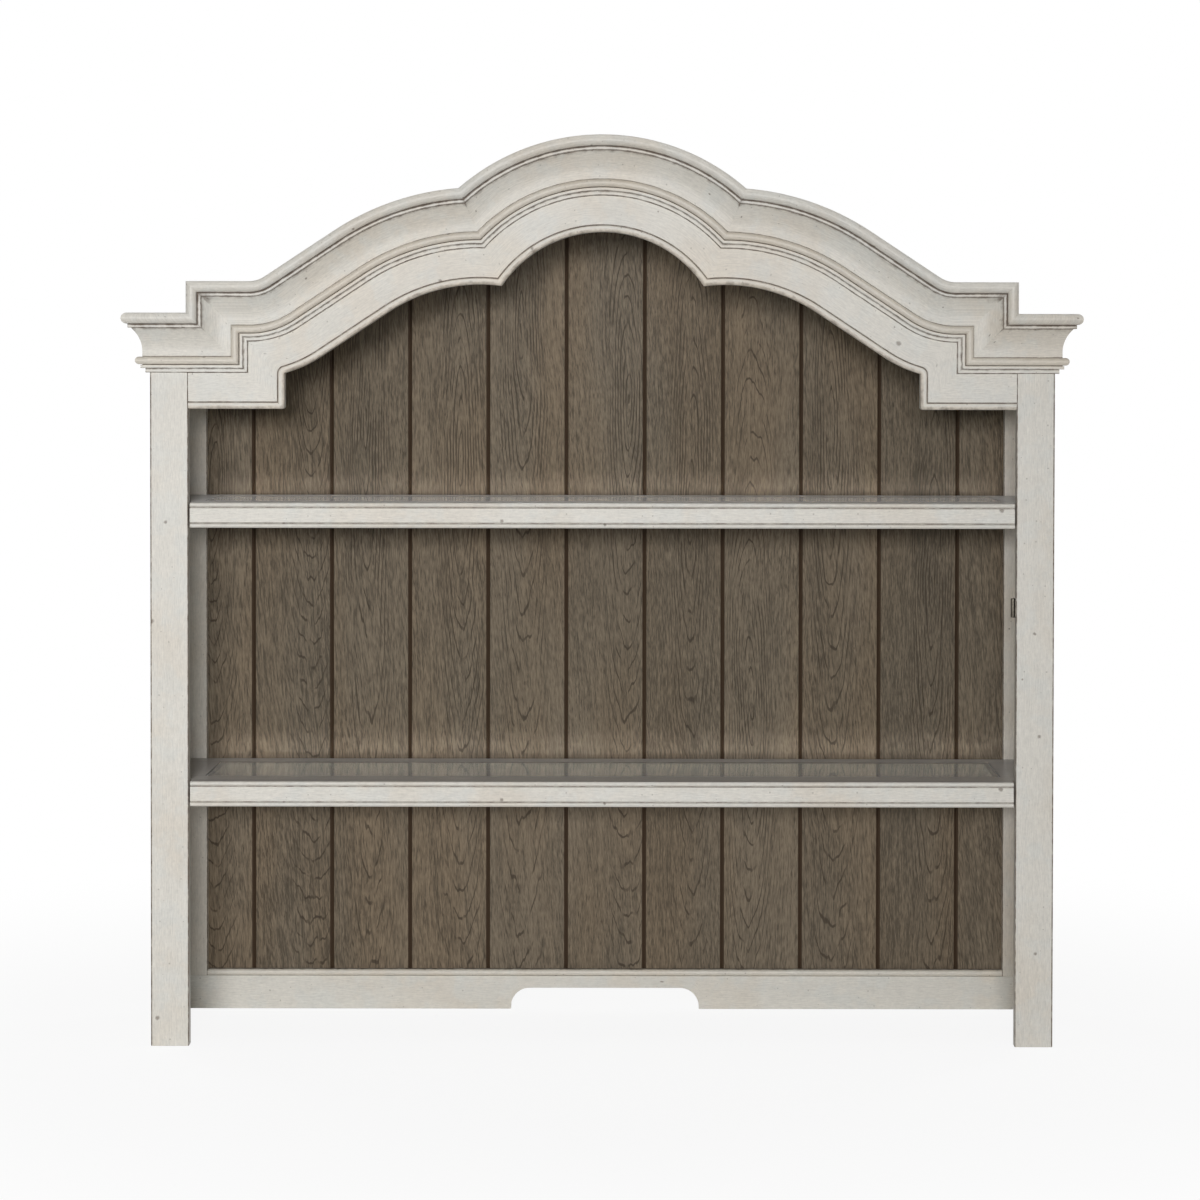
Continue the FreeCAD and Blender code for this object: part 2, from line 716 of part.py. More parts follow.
def touch_switch():
    """Upright barrel with eased ends on a thin plate, on the inner edge of the right stile."""
    middle_y = face_y + STILE_THICKNESS / 2
    foot = lower_shelf_top + SWITCH_PLACE_SHARE * MIDDLE_BAY_HEIGHT - SWITCH_HEIGHT / 2
    barrel_x = opening_half - SWITCH_BARREL_RADIUS
    barrel = Part.makeCylinder(SWITCH_BARREL_RADIUS, SWITCH_HEIGHT, FreeCAD.Vector(barrel_x, middle_y, foot))
    rims = [edge for edge in barrel.Edges if edge.BoundBox.ZLength < SWITCH_END_CHAMFER]
    barrel = barrel.makeChamfer(SWITCH_END_CHAMFER, rims)
    base = block(
        (opening_half - SWITCH_PLATE_THICKNESS, opening_half),
        (middle_y - SWITCH_PLATE_WIDTH / 2, middle_y + SWITCH_PLATE_WIDTH / 2),
        (foot + SWITCH_END_CHAMFER, foot + SWITCH_HEIGHT - SWITCH_END_CHAMFER),
    )
    return joined([barrel, base])


lamp_under = peak_height - FASCIA_DROP + LAMP_BOARD_SETUP
lamp_y = behind_stile_y + LAMP_BOARD_DEPTH / 2


def lamp_board():
    """Board behind the fascia that carries the lamp."""
    half = cusp(0.0)[0]
    return block(
        (-half, half),
        (behind_stile_y, behind_stile_y + LAMP_BOARD_DEPTH),
        (lamp_under, lamp_under + LAMP_BOARD_THICKNESS),
    )


def lamp():
    """Lamp bar under the board, with a diffuser let into its lower face."""
    foot = lamp_under - LAMP_HEIGHT
    housing = block(
        (-LAMP_LENGTH / 2, LAMP_LENGTH / 2),
        (lamp_y - LAMP_DEPTH / 2, lamp_y + LAMP_DEPTH / 2),
        (foot, lamp_under),
    )
    lower_edges = [edge for edge in housing.Edges if edge.BoundBox.ZMax < lamp_under - LAMP_HEIGHT / 2]
    housing = housing.makeChamfer(LAMP_CHAMFER, lower_edges)
    half_length = LAMP_LENGTH / 2 - DIFFUSER_MARGIN
    half_depth = LAMP_DEPTH / 2 - DIFFUSER_MARGIN
    recess = block(
        (-half_length, half_length),
        (lamp_y - half_depth, lamp_y + half_depth),
        (foot, foot + DIFFUSER_THICKNESS),
    )
    diffuser = block(
        (DIFFUSER_FIT - half_length, half_length - DIFFUSER_FIT),
        (lamp_y - half_depth + DIFFUSER_FIT, lamp_y + half_depth - DIFFUSER_FIT),
        (foot - DIFFUSER_PROUD, foot + DIFFUSER_THICKNESS),
    )
    return housing.cut(recess), diffuser


def dimmer_box():
    """Dimmer module on the lamp board, with a round low voltage inlet in its back."""
    floor = lamp_under + LAMP_BOARD_THICKNESS
    back = lamp_y + DIMMER_DEPTH / 2
    housing = block(
        (-DIMMER_WIDTH / 2, DIMMER_WIDTH / 2),
        (lamp_y - DIMMER_DEPTH / 2, back),
        (floor, floor + DIMMER_HEIGHT),
    )
    upper_edges = [edge for edge in housing.Edges if edge.BoundBox.ZMin > floor + DIMMER_HEIGHT / 2]
    housing = housing.makeChamfer(DIMMER_CHAMFER, upper_edges)
    mouth = FreeCAD.Vector(0, back, floor + DIMMER_HEIGHT / 2)
    return housing.cut(Part.makeCylinder(INLET_DIAMETER / 2, INLET_DEPTH, mouth, FreeCAD.Vector(0, -1, 0)))


# All pieces by name

def build_pieces():
    """Every sub-part of the hutch under its own name."""
    pieces = {
        "arch_fascia": fascia(),
        "bottom_rail": bottom_rail(),
        "bottom_rail_cap": rail_cap(),
    }
    sided = {
        "stile": stile(),
        "side_panel": side_panel(),
        "back_stile": back_stile(),
        **crown_pieces(),
        **roof_pieces(),
    }
    for name, piece in sided.items():
        if name.endswith("_center"):
            pieces[name] = piece
        else:
            pieces[name + "_right"] = piece
            pieces[name + "_left"] = mirror(piece)
    field = plank_field()
    planks_each_side = math.ceil(inner_half / PLANK_PITCH - 1 / 2)
    for index in range(-planks_each_side, planks_each_side + 1):
        name = "back_plank_{:02d}".format(index + planks_each_side + 1)
        pieces[name] = plank(index * PLANK_PITCH, field)
    pieces.update(shelf("lower", lower_shelf_top))
    pieces.update(shelf("upper", upper_shelf_top))
    for name, places in pin_places().items():
        pieces[name + "_shelf_pins"] = pin_set(places)
    pieces["touch_switch"] = touch_switch()
    pieces["lamp_board"] = lamp_board()
    pieces["lamp"], pieces["lamp_diffuser"] = lamp()
    pieces["dimmer_box"] = dimmer_box()
    return pieces


os.makedirs("parts", exist_ok=True)
for node, shape in build_pieces().items():
    print(node, len(shape.Solids), "solid", "valid" if shape.isValid() else "INVALID", round(shape.Volume))
    shape.exportStep("parts/" + node + ".step")
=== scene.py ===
import json
import logging
import math
from dataclasses import astuple, dataclass, field
from enum import Enum
from functools import cached_property
from typing import Sequence

import bmesh
import bpy
import numpy as np
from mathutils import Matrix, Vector


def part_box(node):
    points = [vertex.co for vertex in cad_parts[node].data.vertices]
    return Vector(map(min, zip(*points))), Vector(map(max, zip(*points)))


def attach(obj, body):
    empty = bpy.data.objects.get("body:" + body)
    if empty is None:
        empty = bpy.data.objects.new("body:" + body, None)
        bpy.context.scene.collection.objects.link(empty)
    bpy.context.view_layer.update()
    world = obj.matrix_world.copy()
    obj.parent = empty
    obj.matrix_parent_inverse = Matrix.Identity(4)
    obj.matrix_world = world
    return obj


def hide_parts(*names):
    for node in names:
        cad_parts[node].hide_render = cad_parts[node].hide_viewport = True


# Credenza hutch: a painted, glazed case under a stepped and arched crown, with a plank back, two
# loose shelves with glass inserts and a touch switch. Metres; +X to the viewer's right, +Y back.

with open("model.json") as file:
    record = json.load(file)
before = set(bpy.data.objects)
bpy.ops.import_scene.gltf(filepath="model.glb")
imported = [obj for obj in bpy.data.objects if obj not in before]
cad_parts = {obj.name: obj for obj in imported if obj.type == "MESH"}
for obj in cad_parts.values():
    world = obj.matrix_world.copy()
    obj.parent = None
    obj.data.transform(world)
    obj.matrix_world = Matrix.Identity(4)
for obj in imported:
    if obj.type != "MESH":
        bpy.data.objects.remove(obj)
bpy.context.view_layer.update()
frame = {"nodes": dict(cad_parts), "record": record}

log = logging.getLogger("hutch")
Array = np.ndarray
Socket = bpy.types.NodeSocket
MM = 0.001

TINY = 1e-6  # least angle between two sides of a section
CHORDS = 4  # chords in the rounding of a corner
SHARP = math.radians(32.0)  # angle above which an edge stays crisp
WELD = 2e-6  # distance under which points are one
FIRST_ROW = 0.7 * MM  # distance of the first fine row from the end of a run
MIRROR_SHIFT = 1.7  # how far the left half's finish lies from the right half's
PLANK_PITCH = 124.2 * MM  # from one joint of the back to the next


class Side(Enum):
    """The two halves of the hutch, seen from the front."""

    LEFT = "left"
    RIGHT = "right"


class Axis(Enum):
    """Direction in which a board's grain and length run."""

    ACROSS = 0
    DEEP = 1
    UPRIGHT = 2


# Sections: closed outlines of mouldings and boards, as (rise, reach) points


@dataclass(frozen=True)
class Corner:
    """Corner of a section, rounded, with the glazing and painted shade it holds and the paint rubbed
    off it.
    """

    rise: float
    reach: float
    radius: float = 0.4 * MM
    glaze_and_shade: float = 0.0
    wear: float = 0.0
    fade: float = 1.2 * MM
    coat: int = 0

    def rows(self) -> Array:
        """One row of rise, reach, radius, glaze, wear, fade, coat."""
        return np.array([astuple(self)])


@dataclass(frozen=True)
class Bow:
    """Round stretch of a section about a centre, from one angle to another; 0 points straight out."""

    rise: float
    reach: float
    radius: float
    first: float
    last: float
    points: int = 12
    glaze_and_shade: tuple[float, float] = (0.0, 0.0)
    fade: tuple[float, float] = (1.5 * MM, 1.5 * MM)
    wear: float = 0.0

    def rows(self) -> Array:
        """Rows along the arc: centre plus radius times (sine, cosine); glaze fades from each end."""
        angle = np.linspace(self.first, self.last, self.points)
        run = self.radius * abs(self.last - self.first) * np.linspace(0.0, 1.0, self.points)
        glaze_and_shade = np.maximum(
            self.glaze_and_shade[0] * np.clip(1.0 - run / self.fade[0], 0.0, 1.0),
            self.glaze_and_shade[1] * np.clip(1.0 - (run[-1] - run) / self.fade[1], 0.0, 1.0))
        zeros = np.zeros_like(angle)
        return np.stack([
            self.rise + self.radius * np.sin(angle),
            self.reach + self.radius * np.cos(angle),
            zeros, glaze_and_shade, zeros + self.wear, zeros, zeros,
        ], axis=1)


def unit(vectors: Array) -> Array:
    """Rows divided by their lengths; a row of no length stays as it is."""
    length = np.linalg.norm(vectors, axis=1, keepdims=True)
    return vectors / np.maximum(length, 1e-12)


@dataclass
class Section:
    """Closed outline with values for its finish; the last point repeats the first."""

    points: Array
    glaze_and_shade: Array
    wear: Array
    coat: Array

    @classmethod
    def of(cls, stations: Sequence[Corner | Bow]) -> "Section":
        """Outline through stations, with every corner rounded and its finish faded out beside it.

        A rounding is an arc tangent to both sides of the corner: its centre lies on the bisector at
        radius / sin(half angle), and its points turn evenly between the two tangent points. A fade
        takes up less than half of the room before the next corner.

        Args:
            stations: corners and round stretches in order round the outline.

        Returns:
            The closed section.
        """
        base = np.concatenate([station.rows() for station in stations])
        place, radius, glaze_and_shade, wear, fade, coat = base[:, :2], *base[:, 2:].T
        back = np.roll(place, 1, axis=0) - place
        ahead = np.roll(place, -1, axis=0) - place
        to_back, to_ahead = unit(back), unit(ahead)
        half = np.arccos(np.clip((to_back * to_ahead).sum(axis=1), -1.0, 1.0)) / 2
        cut = radius / np.tan(np.maximum(half, TINY))
        room_back = np.linalg.norm(back, axis=1) - cut - np.roll(cut, 1)
        room_ahead = np.linalg.norm(ahead, axis=1) - cut - np.roll(cut, -1)
        step_back = np.clip(0.45 * room_back, 0.0, fade)
        step_ahead = np.clip(0.45 * room_ahead, 0.0, fade)

        out = radius / np.sin(np.maximum(half, TINY))
        center = place + unit(to_back + to_ahead) * out[:, None]
        from_arm = place + to_back * cut[:, None] - center
        to_arm = place + to_ahead * cut[:, None] - center
        turn = np.maximum(math.pi - 2 * half, TINY)[:, None, None]
        share = np.linspace(0.0, 1.0, CHORDS + 1)[None, :, None]
        swung = np.sin((1 - share) * turn) * from_arm[:, None] + np.sin(share * turn) * to_arm[:, None]
        rounding = center[:, None] + swung / np.sin(turn)
        before = place + to_back * (cut + step_back)[:, None]
        after = place + to_ahead * (cut + step_ahead)[:, None]
        points = np.concatenate([before[:, None], rounding, after[:, None]], axis=1)

        spread = np.ones((len(base), CHORDS + 3))
        spread[:, 0] = 1 - step_back / np.maximum(fade, 1e-9)
        spread[:, -1] = 1 - step_ahead / np.maximum(fade, 1e-9)
        kept = np.broadcast_to((fade > 0)[:, None], spread.shape).copy()
        kept[:, 1] = True
        spread[fade == 0, 1] = 1.0
        outline = points[kept]
        closed = np.concatenate([np.arange(len(outline)), [0]])
        return cls(
            outline[closed],
            (spread * glaze_and_shade[:, None])[kept][closed],
            (spread * wear[:, None])[kept][closed],
            np.broadcast_to(coat[:, None], spread.shape)[kept][closed].astype(int),
        )

    @cached_property
    def run(self) -> Array:
        """Distance round the outline at each point."""
        steps = np.linalg.norm(np.diff(self.points, axis=0), axis=1)
        return np.concatenate([[0.0], np.cumsum(steps)])

    def refined(self, spacing: float) -> "Section":
        """The same outline with points no further apart than a spacing."""
        extra = np.arange(0.0, self.run[-1], spacing)
        run = np.unique(np.concatenate([self.run, extra]))
        values = (*self.points.T, self.glaze_and_shade, self.wear)
        rise, reach, glaze_and_shade, wear = (np.interp(run, self.run, value) for value in values)
        coat = self.coat[np.searchsorted(self.run, run, side="right") - 1]
        return Section(np.stack([rise, reach], axis=1), glaze_and_shade, wear, coat)

    def clipped(self, low: float, high: float) -> "Section":
        """The same outline with its first value kept between two limits."""
        points = np.stack([np.clip(self.points[:, 0], low, high), self.points[:, 1]], axis=1)
        return Section(points, self.glaze_and_shade, self.wear, self.coat)


def plain_section(points: Array) -> Section:
    """Closed outline without glaze, wear or a second coat."""
    zeros = np.zeros(len(points))
    return Section(points, zeros, zeros, zeros.astype(int))


def box_section(low: tuple[float, float], high: tuple[float, float], radius: float,
                edges: Sequence[dict[str, float]] = ({}, {}, {}, {})) -> Section:
    """Rectangle with rounded corners.

    Args:
        low: lowest rise and reach.
        high: highest rise and reach.
        radius: rounding of each corner.
        edges: what differs at each corner, from (low, low) on, anticlockwise.

    Returns:
        The section.
    """
    corners = ((low[0], low[1]), (high[0], low[1]), (high[0], high[1]), (low[0], high[1]))
    return Section.of([
        Corner(*corner, **{"radius": radius, **edge}) for corner, edge in zip(corners, edges)
    ])


# Surfaces: grids of points, a row for each place along a path and a column for each section point


@dataclass
class Surface:
    """Closed grid of points with texture places and finish values.

    The joint is glazing and painted shade for all points, for each row (as a column) or for each
    point; the rubbed share of the paint is given in the same ways.
    """

    points: Array
    along: Array
    section: Section
    joint: Array | float = 0.0
    rubbed: Array | float = 0.0

    def mirrored(self) -> "Surface":
        """The same surface on the other side of the middle plane, with its own place in the grain."""
        points = self.points * [-1.0, 1.0, 1.0]
        return Surface(points, self.along + MIRROR_SHIFT, self.section, self.joint, self.rubbed)


def spaced(count: int, length: float = 0.0) -> Array:
    """Column of shares of a length, with two more close to each end if the length is given."""
    shares = np.linspace(0.0, 1.0, count)
    if length:
        near = np.array([FIRST_ROW, 2.5 * FIRST_ROW]) / length
        shares = np.concatenate([shares, near, 1.0 - near])
    return np.unique(shares)[:, None]


def distances(points: Array) -> Array:
    """Distance along a row of points in the front plane."""
    return np.concatenate([[0.0], np.cumsum(np.abs(np.diff(points)))])


def joint_shade(along: Array, ends: tuple[float, float], fade: float) -> Array:
    """Column of glazing and painted shade that a joint holds: its strength at each end, falling to
    nothing over a fade.
    """
    first = ends[0] * np.clip(1 - along / fade, 0.0, 1.0)
    last = ends[1] * np.clip(1 - (along[-1] - along) / fade, 0.0, 1.0)
    return np.maximum(first, last)[:, None]


def both_halves(right: Array) -> Array:
    """Path of the right half, from the middle outwards, with the same mirrored before it."""
    return np.concatenate([-np.conj(right[::-1]), right])


def moulded(section: Section, path: Array, plane_y: float, along: Array, joint: Array) -> Surface:
    """Section carried along a path in the front plane.

    Args:
        section: its rise lies in the front plane and its reach stands out of it.
        path: complex x + iz for each row and each section point.
        plane_y: depth of the plane that reach is measured from.
        along: distance of each row along the path.
        joint: glazing and painted shade of each row or point.

    Returns:
        Points (x, plane_y - reach, z).
    """
    depth = np.broadcast_to(plane_y - section.points[:, 1], path.shape)
    points = np.stack([path.real, depth, path.imag], axis=-1)
    return Surface(points, along, section, joint)


def run_between(section: Section, axis: Axis, first: float, last: float, ease: float = 0.6 * MM,
                joint: tuple[float, float] = (0.0, 0.0)) -> Surface:
    """Section carried straight along an axis, with eased ends.

    A row at a quarter turn a of the easing is drawn in by ease * (1 - sin a) and lies
    ease * (1 - cos a) from the end, so that the end's edge is round.

    Args:
        section: its rise and reach lie on the next two axes, in cyclic order.
        axis: the axis of the run.
        first: where it begins.
        last: where it ends.
        ease: radius of the ends' edges.
        joint: glaze at the two ends.

    Returns:
        The surface.
    """
    quarter = np.linspace(0.0, math.pi / 2, 4)
    inward = np.concatenate([ease * (1 - np.sin(quarter)), [0.0]])
    lengthwise = np.concatenate([ease * (1 - np.cos(quarter)), [4 * ease]])
    place = np.concatenate([first + lengthwise, (last - lengthwise)[::-1]])
    drawn = np.concatenate([inward, inward[::-1]])
    low, high = section.points.min(axis=0), section.points.max(axis=0)
    scale = 1 - 2 * drawn[:, None, None] / (high - low)
    flat = (low + high) / 2 + (section.points - (low + high) / 2) * scale
    basis = np.eye(3)
    k = axis.value
    points = (
        place[:, None, None] * basis[k]
        + flat[..., :1] * basis[(k + 1) % 3]
        + flat[..., 1:] * basis[(k + 2) % 3]
    )
    along = place - first
    return Surface(points, along, section, joint_shade(along, joint, 4 * ease))


def slab(low: Sequence[float], high: Sequence[float], axis: Axis, radius: float = 0.8 * MM,
         edges: Sequence[dict[str, float]] = ({}, {}, {}, {})) -> Surface:
    """Board between two corners, with its grain along an axis and every edge eased."""
    k = axis.value
    u, v = (k + 1) % 3, (k + 2) % 3
    section = box_section((low[u], low[v]), (high[u], high[v]), radius, edges)
    return run_between(section, axis, low[k], high[k], min(radius, 0.8 * MM))


def turned(profile: Array, center: Sequence[float], axis: Axis, sides: int) -> Surface:
    """Profile of (distance along the axis, radius) turned about an axis through a centre.

    A point is centre + distance * axis + radius * (cosine, sine) on the other two axes.
    """
    angle = np.linspace(0.0, 2 * math.pi, sides + 1)
    basis = np.eye(3)
    k = axis.value
    circle = np.stack([np.cos(angle), np.sin(angle)], axis=1)
    spokes = circle @ basis[[(k + 1) % 3, (k + 2) % 3]]
    points = np.asarray(center) + profile[:, :1, None] * basis[k] + profile[:, 1:, None] * spokes
    return Surface(points, profile[:, 0], plain_section(circle * profile[:, 1].max()))


def quad_grid(rows: int, columns: int) -> Array:
    """Four corner numbers of every face between neighbouring rows and columns."""
    row, column = np.meshgrid(np.arange(rows - 1), np.arange(columns - 1), indexing="ij")
    first = (row * columns + column).ravel()
    return np.stack([first, first + 1, first + columns + 1, first + columns], axis=1)


def mesh_of(name: str, surfaces: Sequence[Surface]) -> bpy.types.Mesh:
    """Mesh of closed surfaces with capped ends, a grain map, and the glazing with painted shade and
    the wear of each point.

    The grain map is (distance along the path, distance round the section) in metres.

    Args:
        name: the mesh's name.
        surfaces: grids whose first and last columns meet.

    Returns:
        The welded mesh with its faces outwards.
    """
    points, faces, maps, glaze_and_shade, wear, coats = [], [], [], [], [], []
    start = 0
    for surface in surfaces:
        rows, columns = surface.points.shape[:2]
        section = surface.section
        grain = np.stack(np.meshgrid(surface.along, section.run, indexing="ij"), axis=-1)
        quads = quad_grid(rows, columns)
        ring = np.arange(columns - 1)
        caps = (ring[::-1], ring + (rows - 1) * columns)
        faces += (quads + start).tolist() + [(cap + start).tolist() for cap in caps]
        maps += [grain.reshape(-1, 2)[quads.ravel()], section.points[ring[::-1]], section.points[ring]]
        points.append(surface.points.reshape(-1, 3))
        coats += [np.tile(section.coat[:-1], rows - 1), [0, 0]]
        for values, found in (
            (glaze_and_shade, np.maximum(surface.joint, section.glaze_and_shade)),
            (wear, np.maximum(surface.rubbed, section.wear)),
        ):
            values.append(np.broadcast_to(found, (rows, columns)).ravel())
        start += rows * columns
    mesh = bpy.data.meshes.new(name)
    mesh.from_pydata(np.concatenate(points).tolist(), [], faces)
    for label, values in (("glaze_and_shade", glaze_and_shade), ("wear", wear)):
        layer = mesh.attributes.new(label, "FLOAT", "POINT")
        layer.data.foreach_set("value", np.concatenate(values).astype(np.float32))
    mesh.polygons.foreach_set("material_index", np.concatenate(coats).astype(np.int32))
    grain_map = mesh.uv_layers.new(name="grain")
    grain_map.data.foreach_set("uv", np.concatenate(maps).astype(np.float32).ravel())
    welded = bmesh.new()
    welded.from_mesh(mesh)
    bmesh.ops.remove_doubles(welded, verts=welded.verts, dist=WELD)
    bmesh.ops.recalc_face_normals(welded, faces=welded.faces)
    welded.to_mesh(mesh)
    welded.free()
    mesh.shade_smooth()
    mesh.set_sharp_from_angle(angle=SHARP)
    return mesh


def body_holding(node: str) -> str:
    """Name of the body that a node of the frame belongs to."""
    bodies = frame["record"]["behaviour"]["bodies"]
    return next(body for body, members in bodies.items() if node in members)


def slot_of(node: str) -> str:
    """Name of a node's material slot."""
    return next(part["material_slot"] for part in frame["record"]["subparts"] if part["node"] == node)


def dress(node: str, surfaces: Sequence[Surface], *coats: bpy.types.Material) -> None:
    """Makes the shaped piece that stands for a node, and lets it ride with the node's body.

    Args:
        node: the node that it replaces.
        surfaces: its closed surfaces.
        coats: its finish, and any others that its sections name by number.
    """
    name = node + "_shaped"
    mesh = mesh_of(name, surfaces)
    for material in coats:
        mesh.materials.append(material)
    piece = bpy.data.objects.new(name, mesh)
    bpy.context.scene.collection.objects.link(piece)
    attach(piece, body_holding(node))
    slot_of(node)
    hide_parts(node)
    log.info("%s: %d faces", name, len(mesh.polygons))


def dress_both(node: str, surfaces: Sequence[Surface], coat: bpy.types.Material) -> None:
    """Makes a piece of the right half and its mirror image on the left, named without their side."""
    dress(f"{node}_{Side.RIGHT.value}", surfaces, coat)
    dress(f"{node}_{Side.LEFT.value}", [surface.mirrored() for surface in surfaces], coat)


def node_box(node: str) -> tuple[Array, Array]:
    """Lowest and highest corners of a node."""
    low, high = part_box(node)
    return np.array(low), np.array(high)


# The arch line. Points of the front plane are complex numbers x + iz; angles turn clockwise from up.


def toward(angle: Array | float) -> Array:
    """Unit direction at an angle."""
    return 1j * np.exp(-1j * np.asarray(angle))


def bearing(direction: Array) -> Array:
    """Angle of a direction, from -90 to 270 degrees."""
    return math.pi / 2 - np.angle(direction)


def arc(center: Array, radius: Array, first: Array, last: Array, share: Array) -> Array:
    """Points at shares of an arc: centre + radius * direction(first + (last - first) * share)."""
    return center + radius * toward(first + (last - first) * share)


def line(start: Array, end: Array, share: Array) -> Array:
    """Points at shares of a straight line."""
    return start + (end - start) * share


def bulge(center: complex, radius: float, x: Array) -> Array:
    """Height of a circle over its centre at places beside it, none outside it."""
    return np.sqrt(np.maximum(radius**2 - (x - center.real)**2, 0.0))


@dataclass(frozen=True)
class ArchLine:
    """Bottom line of the crown and its parallels, right-hand half.

    From the crest outwards it is a centre arc, a lobe, a straight slope, a hollow, a level tread, an
    upright riser and a level end. A parallel lies a rise outside the line.
    """

    case_half: float
    step_half: float
    end_height: float
    step_height: float
    peak_height: float
    crown_rise: float
    roof_top: float
    face_y: float
    back_y: float
    wave_rise: float = 140 * MM
    center_radius: float = 237 * MM
    hollow_radius: float = 134 * MM
    hollow_level: float = 4 * MM
    crest_share: float = 0.3465
    lobe_share: float = 0.851
    center_turn: float = 0.75
    cusp_turn: float = 0.1

    @classmethod
    def from_frame(cls) -> "ArchLine":
        """The line that the frame's crown, stiles and roof boards follow."""
        stile_low, stile_high = node_box("stile_right")
        end_height = node_box("crown_end_right")[0][2]
        crown_rise = stile_high[2] - end_height
        return cls(
            case_half=stile_high[0],
            step_half=node_box("crown_riser_right")[0][0],
            end_height=end_height,
            step_height=node_box("crown_wave_right")[0][2],
            peak_height=node_box("crown_center")[1][2] - crown_rise,
            crown_rise=crown_rise,
            roof_top=node_box("roof_end_right")[1][2] - end_height,
            face_y=stile_low[1],
            back_y=node_box("back_plank_06")[1][1],
        )

    @cached_property
    def arc_center(self) -> complex:
        """Centre of the middle arc."""
        return complex(0.0, self.peak_height - self.center_radius)

    @cached_property
    def hollow_center(self) -> complex:
        """Centre of the hollow."""
        return complex(self.step_half - self.hollow_level, self.step_height + self.hollow_radius)

    @cached_property
    def lobe_radius(self) -> float:
        """The lobe's share of the radius that lobe and hollow have together when no slope is left."""
        run = self.hollow_center.real - self.crest_share * self.step_half
        limit = (run**2 + self.wave_rise**2) / (2 * self.wave_rise)
        return self.lobe_share * (limit - self.hollow_radius)

    @cached_property
    def lobe_center(self) -> complex:
        """Centre of the lobe."""
        crest = self.step_height + self.wave_rise
        return complex(self.crest_share * self.step_half, crest - self.lobe_radius)

    @cached_property
    def slope(self) -> float:
        """Angle of the straight stretch that touches both the lobe and the hollow."""
        span = self.hollow_center - self.lobe_center
        lean = math.asin((self.lobe_radius + self.hollow_radius) / abs(span))
        return lean - math.atan2(span.imag, span.real)

    def cusp(self, rise: Array) -> Array:
        """Upper meeting of the centre arc's and the lobe's parallels.

        With the two radii and the span between the centres, the meeting lies a known distance along
        the span and a known distance off it.
        """
        span = self.lobe_center - self.arc_center
        first, second = self.center_radius + rise, self.lobe_radius + rise
        forward = (first**2 - second**2 + abs(span)**2) / (2 * abs(span))
        aside = np.sqrt(first**2 - forward**2)
        return self.arc_center + span / abs(span) * (forward + 1j * aside)

    def center(self, share: Array, rise: Array) -> Array:
        """Centre arc from the crest to the cusp."""
        last = bearing(self.cusp(rise) - self.arc_center)
        return arc(self.arc_center, self.center_radius + rise, 0.0, last, share)

    def lobe(self, share: Array, rise: Array) -> Array:
        """Lobe from the cusp to the slope."""
        first = bearing(self.cusp(rise) - self.lobe_center)
        return arc(self.lobe_center, self.lobe_radius + rise, first, self.slope, share)

    def incline(self, share: Array, rise: Array) -> Array:
        """Straight slope between the lobe and the hollow."""
        start = self.lobe_center + (self.lobe_radius + rise) * toward(self.slope)
        end = self.hollow_center - (self.hollow_radius - rise) * toward(self.slope)
        return line(start, end, share)

    def inner_corner(self, rise: Array, round_radius: Array) -> tuple[Array, Array]:
        """Centre of the rounding where hollow or tread meets the riser, and the hollow's end angle."""
        reach = self.hollow_radius - rise + round_radius
        x = self.step_half + rise - round_radius
        back = np.maximum(self.hollow_center.real - x, 0.0)
        center = x + 1j * (self.hollow_center.imag - np.sqrt(reach**2 - back**2))
        return center, math.pi + np.arcsin(back / reach)

    def hollow(self, share: Array, rise: Array, round_radius: Array) -> Array:
        """Hollow from the slope to its lowest point, or to the rounding before the riser."""
        last = self.inner_corner(rise, round_radius)[1]
        return arc(self.hollow_center, self.hollow_radius - rise, self.slope + math.pi, last, share)

    def tread(self, share: Array, rise: Array, round_radius: Array) -> Array:
        """Level tread, of no length where the riser cuts the hollow."""
        center, last = self.inner_corner(rise, round_radius)
        end = center + round_radius * toward(last - math.pi)
        return line(self.hollow(1.0, rise, round_radius), end, share)

    def wave(self, rise: Array) -> Array:
        """Path of a crown or roof section's rises from the cusp to the step's mitre."""
        none = np.zeros_like(rise)
        return np.concatenate([
            self.lobe(spaced(40, self.lobe_radius * (self.slope + self.cusp_turn)), rise),
            self.incline(spaced(3), rise),
            self.hollow(spaced(26), rise, none),
            self.tread(spaced(2, self.hollow_level), rise, none),
        ])

    def top_over(self, x: Array, rise: float) -> Array:
        """Height of one parallel over places on the right half, by the stretch each lies under."""
        crest, lobe, hollow = self.arc_center, self.lobe_center, self.hollow_center
        slope_start, slope_end = self.incline(0.0, rise), self.incline(1.0, rise)
        stretches = (
            (self.cusp(rise).real, crest.imag + bulge(crest, self.center_radius + rise, x)),
            (slope_start.real, lobe.imag + bulge(lobe, self.lobe_radius + rise, x)),
            (slope_end.real, slope_start.imag - (x - slope_start.real) * math.tan(self.slope)),
            (hollow.real, hollow.imag - bulge(hollow, self.hollow_radius - rise, x)),
            (self.step_half + rise, np.full_like(x, self.step_height + rise)),
        )
        under = [x < limit for limit, _ in stretches]
        return np.select(under, [height for _, height in stretches], self.end_height + rise)


# Node graphs


